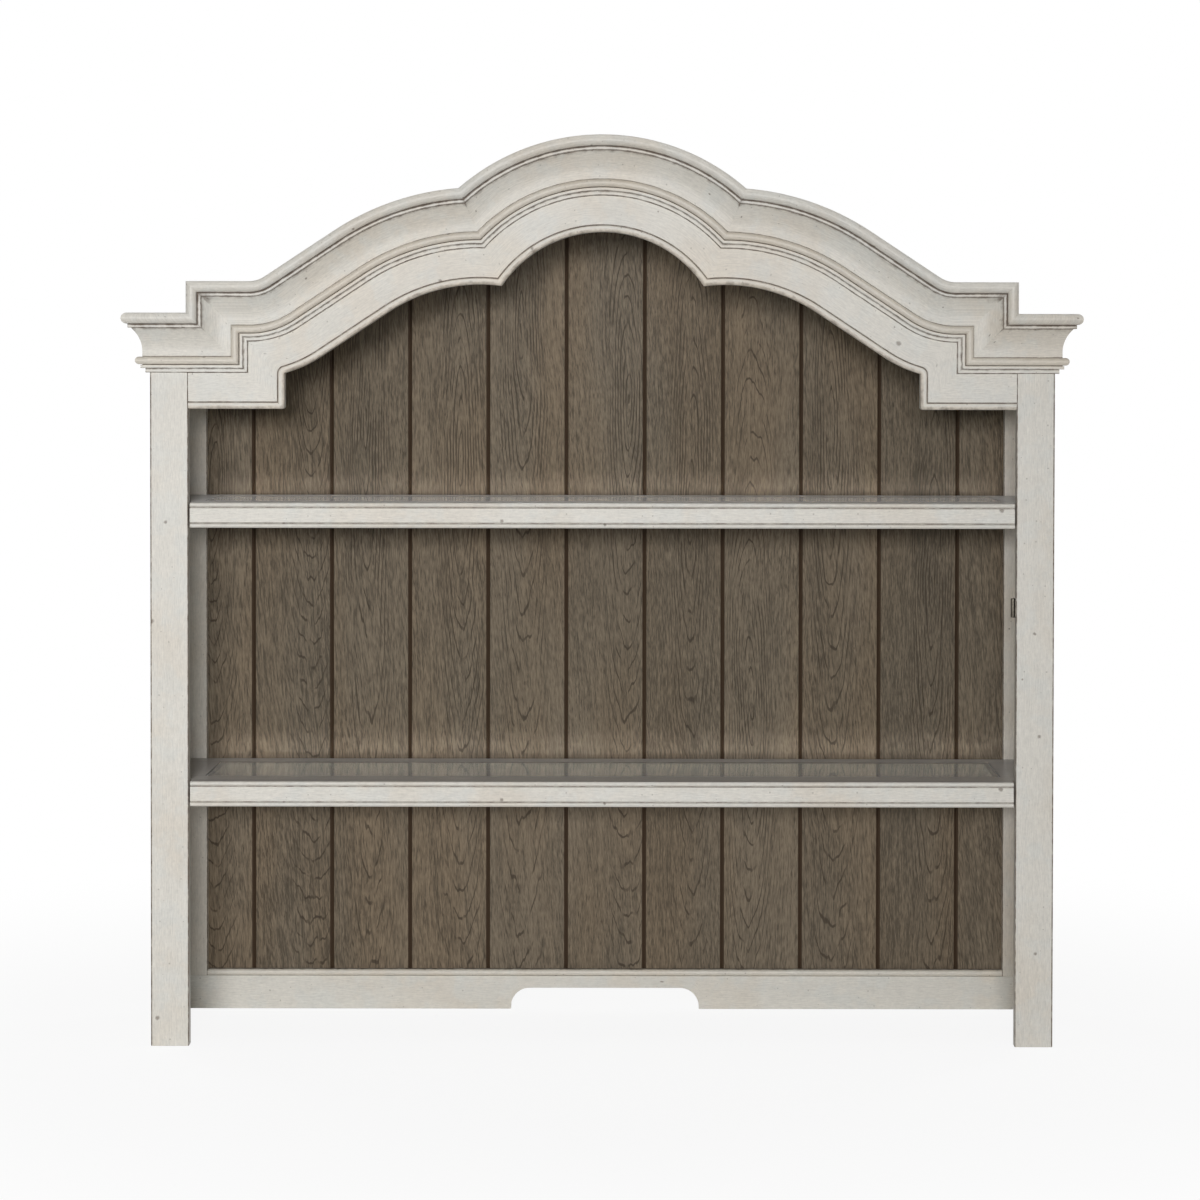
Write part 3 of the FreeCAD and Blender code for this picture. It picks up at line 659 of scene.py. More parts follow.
class Value:
    """Output of a node; arithmetic with it adds math nodes to its graph."""

    def __init__(self, graph: "Graph", socket: Socket) -> None:
        """Keeps the socket and the graph that it belongs to."""
        self.graph = graph
        self.socket = socket

    def __add__(self, other: "Value | float") -> "Value":
        """Sum of two values."""
        return self.graph.calc("ADD", self, other)

    def __sub__(self, other: "Value | float") -> "Value":
        """Difference of two values."""
        return self.graph.calc("SUBTRACT", self, other)

    def __rsub__(self, other: float) -> "Value":
        """What is left of a number when this value is taken away."""
        return self.graph.calc("SUBTRACT", other, self)

    def __mul__(self, other: "Value | float") -> "Value":
        """Product of two values."""
        return self.graph.calc("MULTIPLY", self, other)

    def __truediv__(self, other: "Value | float") -> "Value":
        """Quotient of two values."""
        return self.graph.calc("DIVIDE", self, other)

    def clamped(self) -> "Value":
        """The same value, kept between 0 and 1 by the math node that gives it."""
        self.socket.node.use_clamp = True
        return self


class Graph:
    """Short ways to add nodes to a tree and join them."""

    def __init__(self, tree: bpy.types.NodeTree) -> None:
        """Keeps the tree that the nodes go to."""
        self.tree = tree

    def join(self, value: Value | float | Sequence[float], socket: Socket) -> None:
        """Joins a value to a socket, or sets the socket to a constant."""
        if isinstance(value, Value):
            self.tree.links.new(value.socket, socket)
        else:
            socket.default_value = value

    def add(self, kind: str, inputs: dict | None = None, **settings) -> bpy.types.Node:
        """Adds a node.

        Args:
            kind: the node's type.
            inputs: values to join or constants to set, by input name or number.
            settings: properties of the node.

        Returns:
            The node.
        """
        node = self.tree.nodes.new(kind)
        for key, setting in settings.items():
            setattr(node, key, setting)
        for key, value in (inputs or {}).items():
            self.join(value, node.inputs[key])
        return node

    def outputs(self, kind: str, inputs: dict | None = None, **settings) -> dict[str, Value]:
        """Adds a node as add does and gives its outputs by name."""
        node = self.add(kind, inputs, **settings)
        return {socket.name: Value(self, socket) for socket in node.outputs}

    def value(self, kind: str, inputs: dict | None = None, output: int = 0, **settings) -> Value:
        """Adds a node as add does and gives one of its outputs."""
        return Value(self, self.add(kind, inputs, **settings).outputs[output])

    def calc(self, operation: str, first: Value | float, second: Value | float = 0.0) -> Value:
        """Result of a calculation on one or two values."""
        return self.value("ShaderNodeMath", {0: first, 1: second}, operation=operation)

    def moved(self, vector: Value, shift: Value) -> Value:
        """Sum of two vectors."""
        return self.value("ShaderNodeVectorMath", {0: vector, 1: shift}, operation="ADD")

    def blend(self, share: Value | float, first: Value | tuple, second: Value | tuple,
              how: str = "MIX") -> Value:
        """Colour between two colours."""
        return self.value(
            "ShaderNodeMix", {0: share, 6: first, 7: second}, 2, data_type="RGBA", blend_type=how)

    def mixed(self, share: Value, first: Value, second: Value) -> Value:
        """Shader between two shaders."""
        return self.value("ShaderNodeMixShader", {0: share, 1: first, 2: second})

    def ease(self, value: Value, low: float, high: float, first: float = 0.0,
             last: float = 1.0) -> Value:
        """Smooth step from first to last while a value goes from low to high."""
        return self.value("ShaderNodeMapRange", {0: value, 1: low, 2: high, 3: first, 4: last},
                          interpolation_type="SMOOTHSTEP")

    def noise(self, vector: Value, scale: float | Value | tuple, detail: float = 2.0,
              roughness: float = 0.5) -> Value:
        """Noise between 0 and 1, about 0.5 on the average; a tuple scales each axis on its own."""
        if isinstance(scale, tuple):
            vector = self.value("ShaderNodeVectorMath", {0: vector, 1: scale}, operation="MULTIPLY")
            scale = 1.0
        return self.value("ShaderNodeTexNoise", {
            "Vector": vector, "Scale": scale, "Detail": detail, "Roughness": roughness})

    def chances(self, seed: Value) -> dict[str, Value]:
        """Random value and colour that belong to a number."""
        return self.outputs("ShaderNodeTexWhiteNoise", {"W": seed}, noise_dimensions="1D")

    def attribute(self, name: str) -> Value:
        """Value that the mesh holds at each point."""
        return self.outputs("ShaderNodeAttribute", attribute_name=name)["Fac"]

    def bump(self, height: Value, strength: float, distance: float) -> Value:
        """Normal tilted by a height."""
        return self.value("ShaderNodeBump", {
            "Height": height, "Strength": strength, "Distance": distance})

    def seen(self) -> Value:
        """One for light that reaches the eye directly, off a gloss or through glass, else nothing."""
        rays = self.outputs("ShaderNodeLightPath")
        through = self.calc("MAXIMUM", rays["Is Glossy Ray"], rays["Is Transmission Ray"])
        return self.calc("MAXIMUM", rays["Is Camera Ray"], through)


class Effect(Graph):
    """Shader node group that several finishes share."""

    def __init__(self, name: str, inputs: Sequence[tuple], outputs: Sequence[tuple[str, str]]) -> None:
        """Makes the empty group with its sockets.

        Args:
            name: the group's name.
            inputs: name, kind and value of each input.
            outputs: name and kind of each output.
        """
        super().__init__(bpy.data.node_groups.new(name, "ShaderNodeTree"))
        new_socket = self.tree.interface.new_socket
        for label, kind, value in inputs:
            socket = new_socket(label, in_out="INPUT", socket_type="NodeSocket" + kind)
            if value is not None:
                socket.default_value = value
        for label, kind in outputs:
            new_socket(label, in_out="OUTPUT", socket_type="NodeSocket" + kind)
        self.given = self.outputs("NodeGroupInput")
        self.result = self.add("NodeGroupOutput").inputs

    def give(self, **values: Value) -> "Effect":
        """Joins values to the group's outputs, by name."""
        for label, value in values.items():
            self.join(value, self.result[label])
        return self

    def place(self, graph: Graph, **values: Value | float | tuple) -> dict[str, Value]:
        """Adds the group to a material.

        Args:
            graph: the material's graph.
            values: values or constants for the group's inputs, by name in lower case.

        Returns:
            The group's outputs by name.
        """
        inputs = {label.capitalize(): value for label, value in values.items()}
        return graph.outputs("ShaderNodeGroup", inputs, node_tree=self.tree)


def tone(red: int, green: int, blue: int) -> tuple[float, float, float, float]:
    """Linear colour of display values from 0 to 255, by the sRGB curve."""
    shares = np.array([red, green, blue]) / 255
    linear = np.where(shares <= 0.04045, shares / 12.92, ((shares + 0.055) / 1.055)**2.4)
    return (*linear.tolist(), 1.0)


def clouding_effect() -> Effect:
    """Broad, soft change of tone, from -1 to 1."""
    g = Effect("clouding", [("Place", "Vector", None), ("Scale", "Float", 6.0)], [("Tone", "Float")])
    broad = g.noise(g.given["Place"], g.given["Scale"], 3.0, 0.6)
    return g.give(Tone=g.ease(broad, 0.34, 0.66, -1.0, 1.0))


def glaze_effect() -> Effect:
    """Stain left in recesses and along joints, and painted shade where its fades run wide: it follows
    a mask, broken up by noise.
    """
    g = Effect(
        "glaze_and_shade_in_recesses",
        [("Place", "Vector", None), ("Paint", "Color", None), ("Stain", "Color", None),
         ("Amount", "Float", 0.0)],
        [("Color", "Color"), ("Mask", "Float")])
    amount = g.given["Amount"]
    broken = g.noise(g.given["Place"], 90.0, 3.0, 0.6)
    strong = g.ease(amount + (broken - 0.5) * 0.9, 0.25, 0.95)
    mask = (strong * g.ease(amount, 0.02, 0.3)).clamped()
    return g.give(Color=g.blend(mask, g.given["Paint"], g.given["Stain"]), Mask=mask)


def fleck_effect() -> Effect:
    """Scattered dark specks: cells of which only a share hold one, small and uneven in size."""
    g = Effect(
        "flecks",
        [("Grain", "Vector", None), ("Scale", "Float", 30.0), ("Size", "Float", 0.06),
         ("Share", "Float", 0.3)],
        [("Mask", "Float")])
    grain = g.given["Grain"]
    wobble = g.noise(grain, (260.0, 400.0, 1.0)) - 0.5
    cells = g.outputs("ShaderNodeTexVoronoi", {"Vector": grain, "Scale": g.given["Scale"]},
                      voronoi_dimensions="2D", feature="F1")
    chance = g.outputs("ShaderNodeSeparateColor", {0: cells["Color"]})
    size = g.given["Size"] * (chance["Green"] + 0.3)
    inside = g.ease((cells["Distance"] + wobble * 0.05) / size, 1.0, 0.35)
    held = g.calc("LESS_THAN", chance["Red"], g.given["Share"])
    return g.give(Mask=inside * held)


def brush_effect() -> Effect:
    """Marks of a brush drawn along the piece: broad and fine noise stretched along the grain map."""
    g = Effect("brush_marks", [("Grain", "Vector", None)], [("Mark", "Float"), ("Drag", "Float")])
    fine = g.noise(g.given["Grain"], (64.0, 540.0, 1.0), 2.0, 0.7)
    broad = g.noise(g.given["Grain"], (14.0, 80.0, 1.0), 2.0, 0.6)
    return g.give(Mark=fine - 0.5, Drag=broad - 0.5)


def timber_effect() -> Effect:
    """Open grain of a board: rings cut at a slant, wavering fibres, short streaks and pores.

    The place has its third axis along the grain and its first across the board. Rings lie about a
    heart line that runs through the board at a slant: their number is the distance
    sqrt((x - x0)^2 + (slant * (z - z0))^2) over a ring's width, so that they draw long nested
    ellipses. The distance from a ring over its steepness |x - x0| / distance keeps a line as thin at
    an ellipse's tip as along its sides. A seed moves the pattern and chooses x0, z0, the slant and
    the fibres' tilt, so no two boards match.
    """
    g = Effect(
        "timber_grain",
        [("Place", "Vector", None), ("Seed", "Float", 0.0), ("Middle", "Float", 0.0)],
        [(label, "Float") for label in ("Fibre", "Ring", "Pore", "Cloud", "Hue")])
    place, seed = g.given["Place"], g.given["Seed"]
    shift = g.value("ShaderNodeCombineXYZ", {0: seed * 1.37, 1: seed * 0.61, 2: seed * 2.13})
    moved = g.moved(place, shift)
    bend = g.noise(moved, (7.0, 2.0, 2.6)) - 0.5
    lean = g.noise(moved, (34.0, 8.0, 9.0), 1.0) - 0.5
    sway = bend * 0.03 + lean * 0.003
    chance = g.outputs("ShaderNodeSeparateColor", {0: g.chances(seed + 0.7)["Color"]})
    split = g.outputs("ShaderNodeSeparateXYZ", {0: place})
    tilt = (chance["Green"] - 0.5) * 0.16
    wavered = g.moved(moved, g.value("ShaderNodeCombineXYZ", {0: sway + tilt * split["Z"]}))

    heart_x = g.given["Middle"] + (chance["Red"] - 0.5) * 0.09
    across = split["X"] - heart_x + sway
    heart_z = chance["Green"] * 1.1 + 0.05
    slant = chance["Blue"] * 0.07 + 0.06
    depth = (split["Z"] - heart_z) * slant
    radius = g.calc("SQRT", across * across + depth * depth)
    drift = (g.noise(moved, (55.0, 10.0, 9.0)) - 0.5) * 0.006
    apart = g.calc("PINGPONG", radius + drift, 2.1 * MM)
    off = g.calc("ABSOLUTE", across)
    steep = g.calc("MAXIMUM", off / radius, 0.3)
    drawn = g.ease(apart / steep, 1.15 * MM, 0.4 * MM)
    broken = g.ease(g.noise(moved, (70.0, 20.0, 15.0)), 0.36, 0.54)

    fibre = g.noise(wavered, (680.0, 90.0, 70.0), 2.0, 0.6)
    streak = g.noise(wavered, (340.0, 40.0, 20.0), 2.0, 0.6)
    dashes = g.noise(wavered, (700.0, 90.0, 80.0), 1.0, 0.6)
    patch = g.ease(g.noise(moved, (20.0, 4.0, 5.0)), 0.3, 0.7)
    return g.give(
        Fibre=fibre * 0.6 + streak * 0.4,
        Ring=drawn * (g.ease(off, 0.052, 0.016) * broken),
        Pore=g.ease(dashes, 0.56, 0.70) * patch,
        Cloud=g.noise(moved, (14.0, 4.0, 2.4)),
        Hue=g.noise(moved, (9.0, 3.0, 1.9), 1.0),
    )


@dataclass(frozen=True)
class Effects:
    """The shared effects, each built once."""

    clouding: Effect = field(default_factory=clouding_effect)
    glaze_and_shade: Effect = field(default_factory=glaze_effect)
    fleck: Effect = field(default_factory=fleck_effect)
    brush: Effect = field(default_factory=brush_effect)
    timber: Effect = field(default_factory=timber_effect)


# Finishes


class Coat(Graph):
    """Graph of a new material, whose principled shader is joined to its output."""

    def __init__(self, name: str) -> None:
        """Makes the material with its shader and output."""
        self.material = bpy.data.materials.new(name)
        self.material.use_nodes = True
        super().__init__(self.material.node_tree)
        self.tree.nodes.clear()
        self.shader = self.add("ShaderNodeBsdfPrincipled")
        self.plain = Value(self, self.shader.outputs[0])
        self.shown = self.add("ShaderNodeOutputMaterial", {0: self.plain}).inputs[0]

    def finished(self, inputs: dict) -> bpy.types.Material:
        """The material, with values joined to the shader's inputs, or constants set, by name."""
        for label, value in inputs.items():
            self.join(value, self.shader.inputs[label])
        return self.material


@dataclass(frozen=True)
class GlazedPaint:
    """Off-white paint, rubbed at its edges, with brown glazing left in its recesses and painted shade
    in the same brown beside them.
    """

    name: str = "painted_wood_glazed"
    paint: tuple = tone(214, 210, 201)
    warm: tuple = tone(207, 196, 180)
    cool: tuple = tone(207, 209, 205)
    bead: tuple = tone(217, 205, 187)
    # stain: brown of the glazing lines, also the painted shade where their fades run wide
    stain: tuple = tone(92, 77, 64)
    speck: tuple = tone(104, 90, 76)
    roughness: float = 0.46

    def material(self, effects: Effects) -> bpy.types.Material:
        """Paint from the shared effects: clouding, brush marks, flecks, and glazing with painted shade
        over them all.
        """
        g = Coat(self.name)
        coords = g.outputs("ShaderNodeTexCoord")
        place, grain = coords["Object"], coords["UV"]
        color = self.paint
        for scale, share, tint in ((5.0, 0.45, self.warm), (23.0, 0.35, self.cool)):
            cloud = effects.clouding.place(g, place=place, scale=scale)["Tone"]
            color = g.blend(g.calc("MAXIMUM", cloud, 0.0) * share, color, tint)
        color = g.blend((g.attribute("wear") * 0.75).clamped(), color, self.bead)
        brush = effects.brush.place(g, grain=grain)
        mark = brush["Mark"]
        mottle = g.noise(place, 240.0, 2.0, 0.6) - 0.5
        streak = mark * 0.5 + brush["Drag"] * 0.14 + mottle * 0.2 + 1.0
        grey = g.value("ShaderNodeCombineColor", {0: streak, 1: streak, 2: streak})
        color = g.blend(1.0, color, grey, "MULTIPLY")
        big = effects.fleck.place(g, grain=grain, scale=15.0, size=0.065, share=0.4)["Mask"]
        small = effects.fleck.place(g, grain=grain, scale=62.0, size=0.09, share=0.2)["Mask"]
        specks = g.calc("MAXIMUM", big * 0.8, small * 0.45)
        color = g.blend(specks * 0.9, color, self.speck)
        glazed_and_shaded = effects.glaze_and_shade.place(
            g, place=place, paint=color, stain=self.stain, amount=g.attribute("glaze_and_shade"))
        return g.finished({
            "Base Color": glazed_and_shaded["Color"],
            "Roughness": glazed_and_shaded["Mask"] * 0.2 + mark * 0.12 + self.roughness,
            "Normal": g.bump(mark * 0.5 - specks * 1.4, 0.14, 0.35 * MM),
        })


@dataclass(frozen=True)
class StainedTimber:
    """Grey-brown stain over open grain."""

    name: str
    light: tuple = tone(131, 117, 98)
    dark: tuple = tone(83, 74, 61)
    pore: tuple = tone(56, 46, 36)
    groove: tuple = tone(62, 48, 35)
    warm: tuple = (1.035, 1.0, 0.965, 1.0)
    cool: tuple = (0.985, 1.0, 1.025, 1.0)
    pitch: float = PLANK_PITCH
    axis: Axis = Axis.UPRIGHT
    figure: float = 0.8
    contrast: float = 4.4
    roughness: float = 0.65
    gloss: float = 0.2
    sheen: float = 0.0

    def material(self, effects: Effects) -> bpy.types.Material:
        """Stain with a tone for each board, fibres, rings and pores, dark in the grooves."""
        g = Coat(self.name)
        place = g.outputs("ShaderNodeTexCoord")["Object"]
        split = g.outputs("ShaderNodeSeparateXYZ", {0: place})
        if self.axis is Axis.UPRIGHT:
            number = g.calc("FLOOR", split["X"] / self.pitch + 0.5)
            along, middle = place, number * self.pitch
        else:
            number = g.calc("FLOOR", split["Z"] * 4.0)
            along = g.value("ShaderNodeCombineXYZ", {0: split["Y"], 1: split["Z"], 2: split["X"]})
            middle = 0.0
        chance = g.chances(number + 3.7)["Value"]
        grain = effects.timber.place(g, place=along, seed=chance * 9.0, middle=middle)
        value = (grain["Fibre"] - 0.5) * self.contrast + (grain["Cloud"] - 0.5) * 0.7
        value = value + (chance - 0.5) * 0.2
        color = g.blend((value + 0.5).clamped(), self.dark, self.light)
        hue = g.blend(g.ease(grain["Hue"], 0.35, 0.65), self.cool, self.warm)
        color = g.blend(1.0, color, hue, "MULTIPLY")
        color = g.blend(grain["Pore"] * 0.6, color, self.pore)
        color = g.blend(grain["Ring"] * self.figure, color, self.pore)
        return g.finished({
            "Base Color": g.blend(g.ease(g.attribute("glaze_and_shade"), 0.05, 0.8), color, self.groove),
            "Roughness": self.roughness,
            "Specular IOR Level": self.gloss,
            "Sheen Weight": self.sheen,
            "Sheen Roughness": 0.35,
            "Normal": g.bump(grain["Fibre"] * 0.5 - grain["Pore"], 0.3, 0.3 * MM),
        })


@dataclass(frozen=True)
class ClearGlass:
    """Clear shelf glass with a faint green tint, which lets light through to what lies behind."""

    name: str = "shelf_glass"
    tint: tuple = tone(238, 246, 242)
    shade: tuple = tone(232, 240, 236)
    index: float = 1.5
    sheen_share: float = 2.5
    sheen_roughness: float = 0.12
    dust: float = 0.13

    def material(self) -> bpy.types.Material:
        """Glass that a shadow ray passes as if it were hardly there.

        Light on its way to a matt surface is either let through or thrown off its top like a soft
        sheen, by Fresnel's law.
        """
        g = Coat(self.name)
        rays = g.outputs("ShaderNodeLightPath")
        passing = g.value("ShaderNodeBsdfTransparent", {"Color": self.shade})
        sheen = g.value("ShaderNodeBsdfAnisotropic", {"Roughness": self.sheen_roughness})
        inside = g.outputs("ShaderNodeNewGeometry")["Backfacing"]
        fresnel = g.value("ShaderNodeFresnel", {"IOR": self.index})
        thrown = (fresnel * self.sheen_share * (1.0 - inside)).clamped()
        clear = g.mixed(rays["Is Shadow Ray"], g.plain, passing)
        soft = g.mixed(thrown, passing, sheen)
        g.join(g.mixed(rays["Is Diffuse Ray"], clear, soft), g.shown)
        return g.finished({
            "Base Color": self.tint,
            "Roughness": 0.02,
            "IOR": self.index,
            "Transmission Weight": 1.0,
            "Sheen Weight": self.dust,
            "Sheen Roughness": 0.35,
        })


@dataclass(frozen=True)
class DarkBronze:
    """Dark metal of the touch switch, brushed round and rubbed brighter in places."""

    name: str = "dark_bronze"
    dark: tuple = tone(66, 62, 56)
    bright: tuple = tone(140, 134, 122)

    def material(self, effects: Effects) -> bpy.types.Material:
        """Bronze with its brushing and rubbed tone."""
        g = Coat(self.name)
        place = g.outputs("ShaderNodeTexCoord")["Object"]
        rub = effects.clouding.place(g, place=place, scale=120.0)["Tone"]
        lines = g.noise(place, (300.0, 300.0, 6000.0))
        return g.finished({
            "Base Color": g.blend((rub * 0.12 + lines * 0.4).clamped(), self.dark, self.bright),
            "Roughness": g.ease(lines, 0.2, 0.8, 0.24, 0.42),
            "Metallic": 1.0,
        })


@dataclass(frozen=True)
class PlainFinish:
    """Small fittings: plated steel, moulded plastic or a frosted diffuser."""

    name: str
    color: tuple
    roughness: float
    metallic: float = 0.0
    glow: float = 0.0
    daylight: tuple = tone(228, 238, 255)

    def material(self, effects: Effects) -> bpy.types.Material:
        """Finish with a slight change of tone and a fine tooth."""
        g = Coat(self.name)
        place = g.outputs("ShaderNodeTexCoord")["Object"]
        cloud = effects.clouding.place(g, place=place, scale=40.0)["Tone"]
        tooth = g.noise(place, 1800.0, 1.0)
        darker = tuple(0.86 * value for value in self.color[:3]) + (1.0,)
        return g.finished({
            "Base Color": g.blend((cloud * 0.3 + 0.5).clamped(), darker, self.color),
            "Roughness": g.ease(tooth, 0.2, 0.8, self.roughness - 0.05, self.roughness + 0.05),
            "Metallic": self.metallic,
            "Emission Color": self.daylight,
            "Emission Strength": self.glow,
            "Normal": g.bump(tooth, 0.15, 0.05 * MM),
        })


@dataclass(frozen=True)
class Finishes:
    """Every material of the hutch."""

    paint: bpy.types.Material
    aged: bpy.types.Material
    planks: bpy.types.Material
    shelf: bpy.types.Material
    glass: bpy.types.Material
    bronze: bpy.types.Material
    steel: bpy.types.Material
    plastic: bpy.types.Material
    diffuser: bpy.types.Material

    @classmethod
    def mixed(cls) -> "Finishes":
        """Builds them all from one set of effects."""
        effects = Effects()
        # Painted shade: a darker, warmer copy of the paint for the back strips, which sit in the
        # shadow behind the stiles.
        aged = GlazedPaint(
            "painted_wood_aged", paint=tone(211, 204, 193), warm=tone(203, 191, 174),
            cool=tone(206, 204, 196))
        shelf = StainedTimber(
            "shelf_stain_grained", light=tone(138, 127, 113), dark=tone(98, 89, 78), axis=Axis.ACROSS,
            figure=0.3, contrast=2.4, roughness=0.3, gloss=0.28, sheen=0.16)
        frosted = PlainFinish("frosted_diffuser", tone(238, 238, 236), 0.6, glow=18.0)
        return cls(
            paint=GlazedPaint().material(effects),
            aged=aged.material(effects),
            planks=StainedTimber("plank_stain_grained").material(effects),
            shelf=shelf.material(effects),
            glass=ClearGlass().material(),
            bronze=DarkBronze().material(effects),
            steel=PlainFinish("plated_steel", tone(196, 196, 198), 0.3, 1.0).material(effects),
            plastic=PlainFinish("matt_plastic", tone(226, 226, 224), 0.5).material(effects),
            diffuser=frosted.material(effects),
        )


# Sub-assemblies


@dataclass(frozen=True)
class Crown:
    """Crown moulding round the arch line: two fillets, an astragal, a cove and a top fillet."""

    line: ArchLine
    low_fillet: tuple[float, float] = (6.6 * MM, 5.7 * MM)
    high_fillet: tuple[float, float] = (4.8 * MM, 12.2 * MM)
    quirk: tuple[float, float] = (0.9 * MM, 9.8 * MM)
    bead_radius: float = 5.7 * MM
    bead_reach: float = 19.5 * MM
    cove_foot: float = 7.4 * MM
    cove_rise: float = 33.9 * MM
    cove_radius: float = 48 * MM
    top_reach: float = 29 * MM
    edge_radius: float = 0.7 * MM
    joint_glaze: float = 0.3
    joint_fade: float = 0.8 * MM
    # Painted shade at the mitres: its strength, its fade along the run, and the shares of the rise
    # over which it climbs in.
    mitre_shade: float = 0.65
    mitre_fade: float = 4 * MM
    mitre_climb: tuple[float, float] = (0.62, 0.87)

    def section(self) -> Section:
        """Section from the foot up; its quirks and inner corners hold glazing lines, and its wide
        fades are painted shade.
        """
        low, high, quirk = self.low_fillet, self.high_fillet, self.quirk
        high_top = low[0] + high[0]
        bead_foot = high_top + quirk[0]
        bead_top = bead_foot + 2 * self.bead_radius
        cove_low = bead_top + quirk[0] + self.cove_foot
        cove_high = cove_low + self.cove_rise
        turn = math.asin(self.cove_rise / self.cove_radius)
        cove_out = quirk[1] + self.cove_radius * (1 - math.cos(turn))
        bead_center = self.bead_reach - self.bead_radius
        edge = {"radius": self.edge_radius, "wear": 0.6}
        recess = {"radius": 0.25 * MM, "glaze_and_shade": 1.0}
        # Painted shade: the glazing fades run wide between the fillets (4.2 mm), up the astragal's
        # underside (3 mm), down from the top of the cove (8 mm) and under the roof's overhang (4.5
        # mm).
        return Section.of([
            Corner(0.0, 0.0),
            Corner(0.0, low[1], radius=self.edge_radius, glaze_and_shade=0.75, fade=1.1 * MM),
            Corner(low[0], low[1], radius=0.25 * MM, glaze_and_shade=0.72, fade=4.2 * MM),
            Corner(low[0], high[1], radius=self.edge_radius, glaze_and_shade=0.55, fade=1.3 * MM),
            Corner(high_top, high[1], **edge),
            Corner(high_top, quirk[1], **recess),
            Corner(bead_foot, quirk[1], **recess),
            Bow(bead_foot + self.bead_radius, bead_center, self.bead_radius, -math.pi / 2, math.pi / 2,
                points=18, glaze_and_shade=(0.8, 0.3), fade=(3 * MM, 4 * MM), wear=0.6),
            Corner(bead_top, quirk[1], radius=0.3 * MM, glaze_and_shade=1.0, fade=1.3 * MM),
            Bow(cove_low, quirk[1] + self.cove_radius, self.cove_radius, math.pi, math.pi - turn,
                points=22, glaze_and_shade=(0.0, 0.55), fade=(1 * MM, 8 * MM)),
            Corner(cove_high + quirk[0], cove_out, radius=0.3 * MM, glaze_and_shade=0.95, fade=1.7 * MM),
            Corner(cove_high + quirk[0], self.top_reach, radius=1.0 * MM, glaze_and_shade=0.6, fade=1.1 * MM),
            Corner(self.line.crown_rise, self.top_reach, radius=0.3 * MM, glaze_and_shade=1.0, fade=4.5 * MM),
            Corner(self.line.crown_rise, 0.0),
        ])

    def mitred(self, section: Section, along: Array, ends: tuple[float, float] = (1.0, 1.0)) -> Array:
        """Glazing at the ends of a run: a thin dark joint line everywhere, and painted shade at the
        mitre, strong at the top of the cove and fading down it.
        """
        share = section.points[:, 0] / self.line.crown_rise
        climb = (share - self.mitre_climb[0]) / (self.mitre_climb[1] - self.mitre_climb[0])
        # Painted shade at the mitre, growing up the cove and gone on the top edge.
        painted_mitre_shade = self.mitre_shade * (np.clip(climb, 0.0, 1.0) * (share < 1.0))**2
        return np.maximum(
            joint_shade(along, ends, self.joint_fade) * self.joint_glaze,
            joint_shade(along, ends, self.mitre_fade) * painted_mitre_shade)

    def run(self, section: Section, path: Array, along: Array | None = None) -> Surface:
        """Section carried along a path from mitre to mitre, measured at its first point by default."""
        if along is None:
            along = distances(path[:, 0])
        return moulded(section, path, self.line.face_y, along, self.mitred(section, along))

    def center(self, section: Section) -> Surface:
        """Centre piece between the cusps."""
        share = spaced(48, self.line.center_radius * self.line.center_turn)
        return self.run(section, both_halves(self.line.center(share, section.points[:, 0])))

    def wave(self, section: Section) -> Surface:
        """Right-hand wave between the cusp and the step."""
        return self.run(section, self.line.wave(section.points[:, 0]))

    def riser(self, section: Section) -> Surface:
        """Right-hand upright run: at a rise r it stands r outside the step, between r higher ends."""
        low, high = self.line.end_height, self.line.step_height
        foot = self.line.step_half + section.points[:, 0] * (1 + 1j) + 1j * low
        return self.run(section, line(foot, foot + 1j * (high - low), spaced(5, high - low)))

    def end(self, section: Section) -> Surface:
        """Right-hand level run from the step's foot to the case's corner, mitred at both."""
        first, last = self.line.step_half, self.line.case_half
        rise, reach = section.points.T
        height = 1j * (self.line.end_height + rise)
        share = spaced(9, last - first)
        path = line(first + rise + height, last + reach + height, share)
        return self.run(section, path, share[:, 0] * (last - first))

    def side_return(self, section: Section) -> Surface:
        """Right-hand run along the case's side: at a reach r it stands r out and begins r ahead."""
        rise, reach = section.points.T
        face, back = self.line.face_y, self.line.back_y
        share = spaced(9, back - face)
        points = np.stack(np.broadcast_arrays(
            self.line.case_half + reach, line(face - reach, back, share), self.line.end_height + rise,
        ), axis=-1)
        along = share[:, 0] * (back - face)
        return Surface(points, along, section, self.mitred(section, along, (1.0, 0.0)))

    def dress(self, finishes: Finishes) -> None:
        """Makes every piece of the moulding, left and right."""
        section = self.section()
        dress("crown_center", [self.center(section)], finishes.paint)
        runs = {"wave": self.wave, "riser": self.riser, "end": self.end, "return": self.side_return}
        for name, run in runs.items():
            dress_both("crown_" + name, [run(section)], finishes.paint)


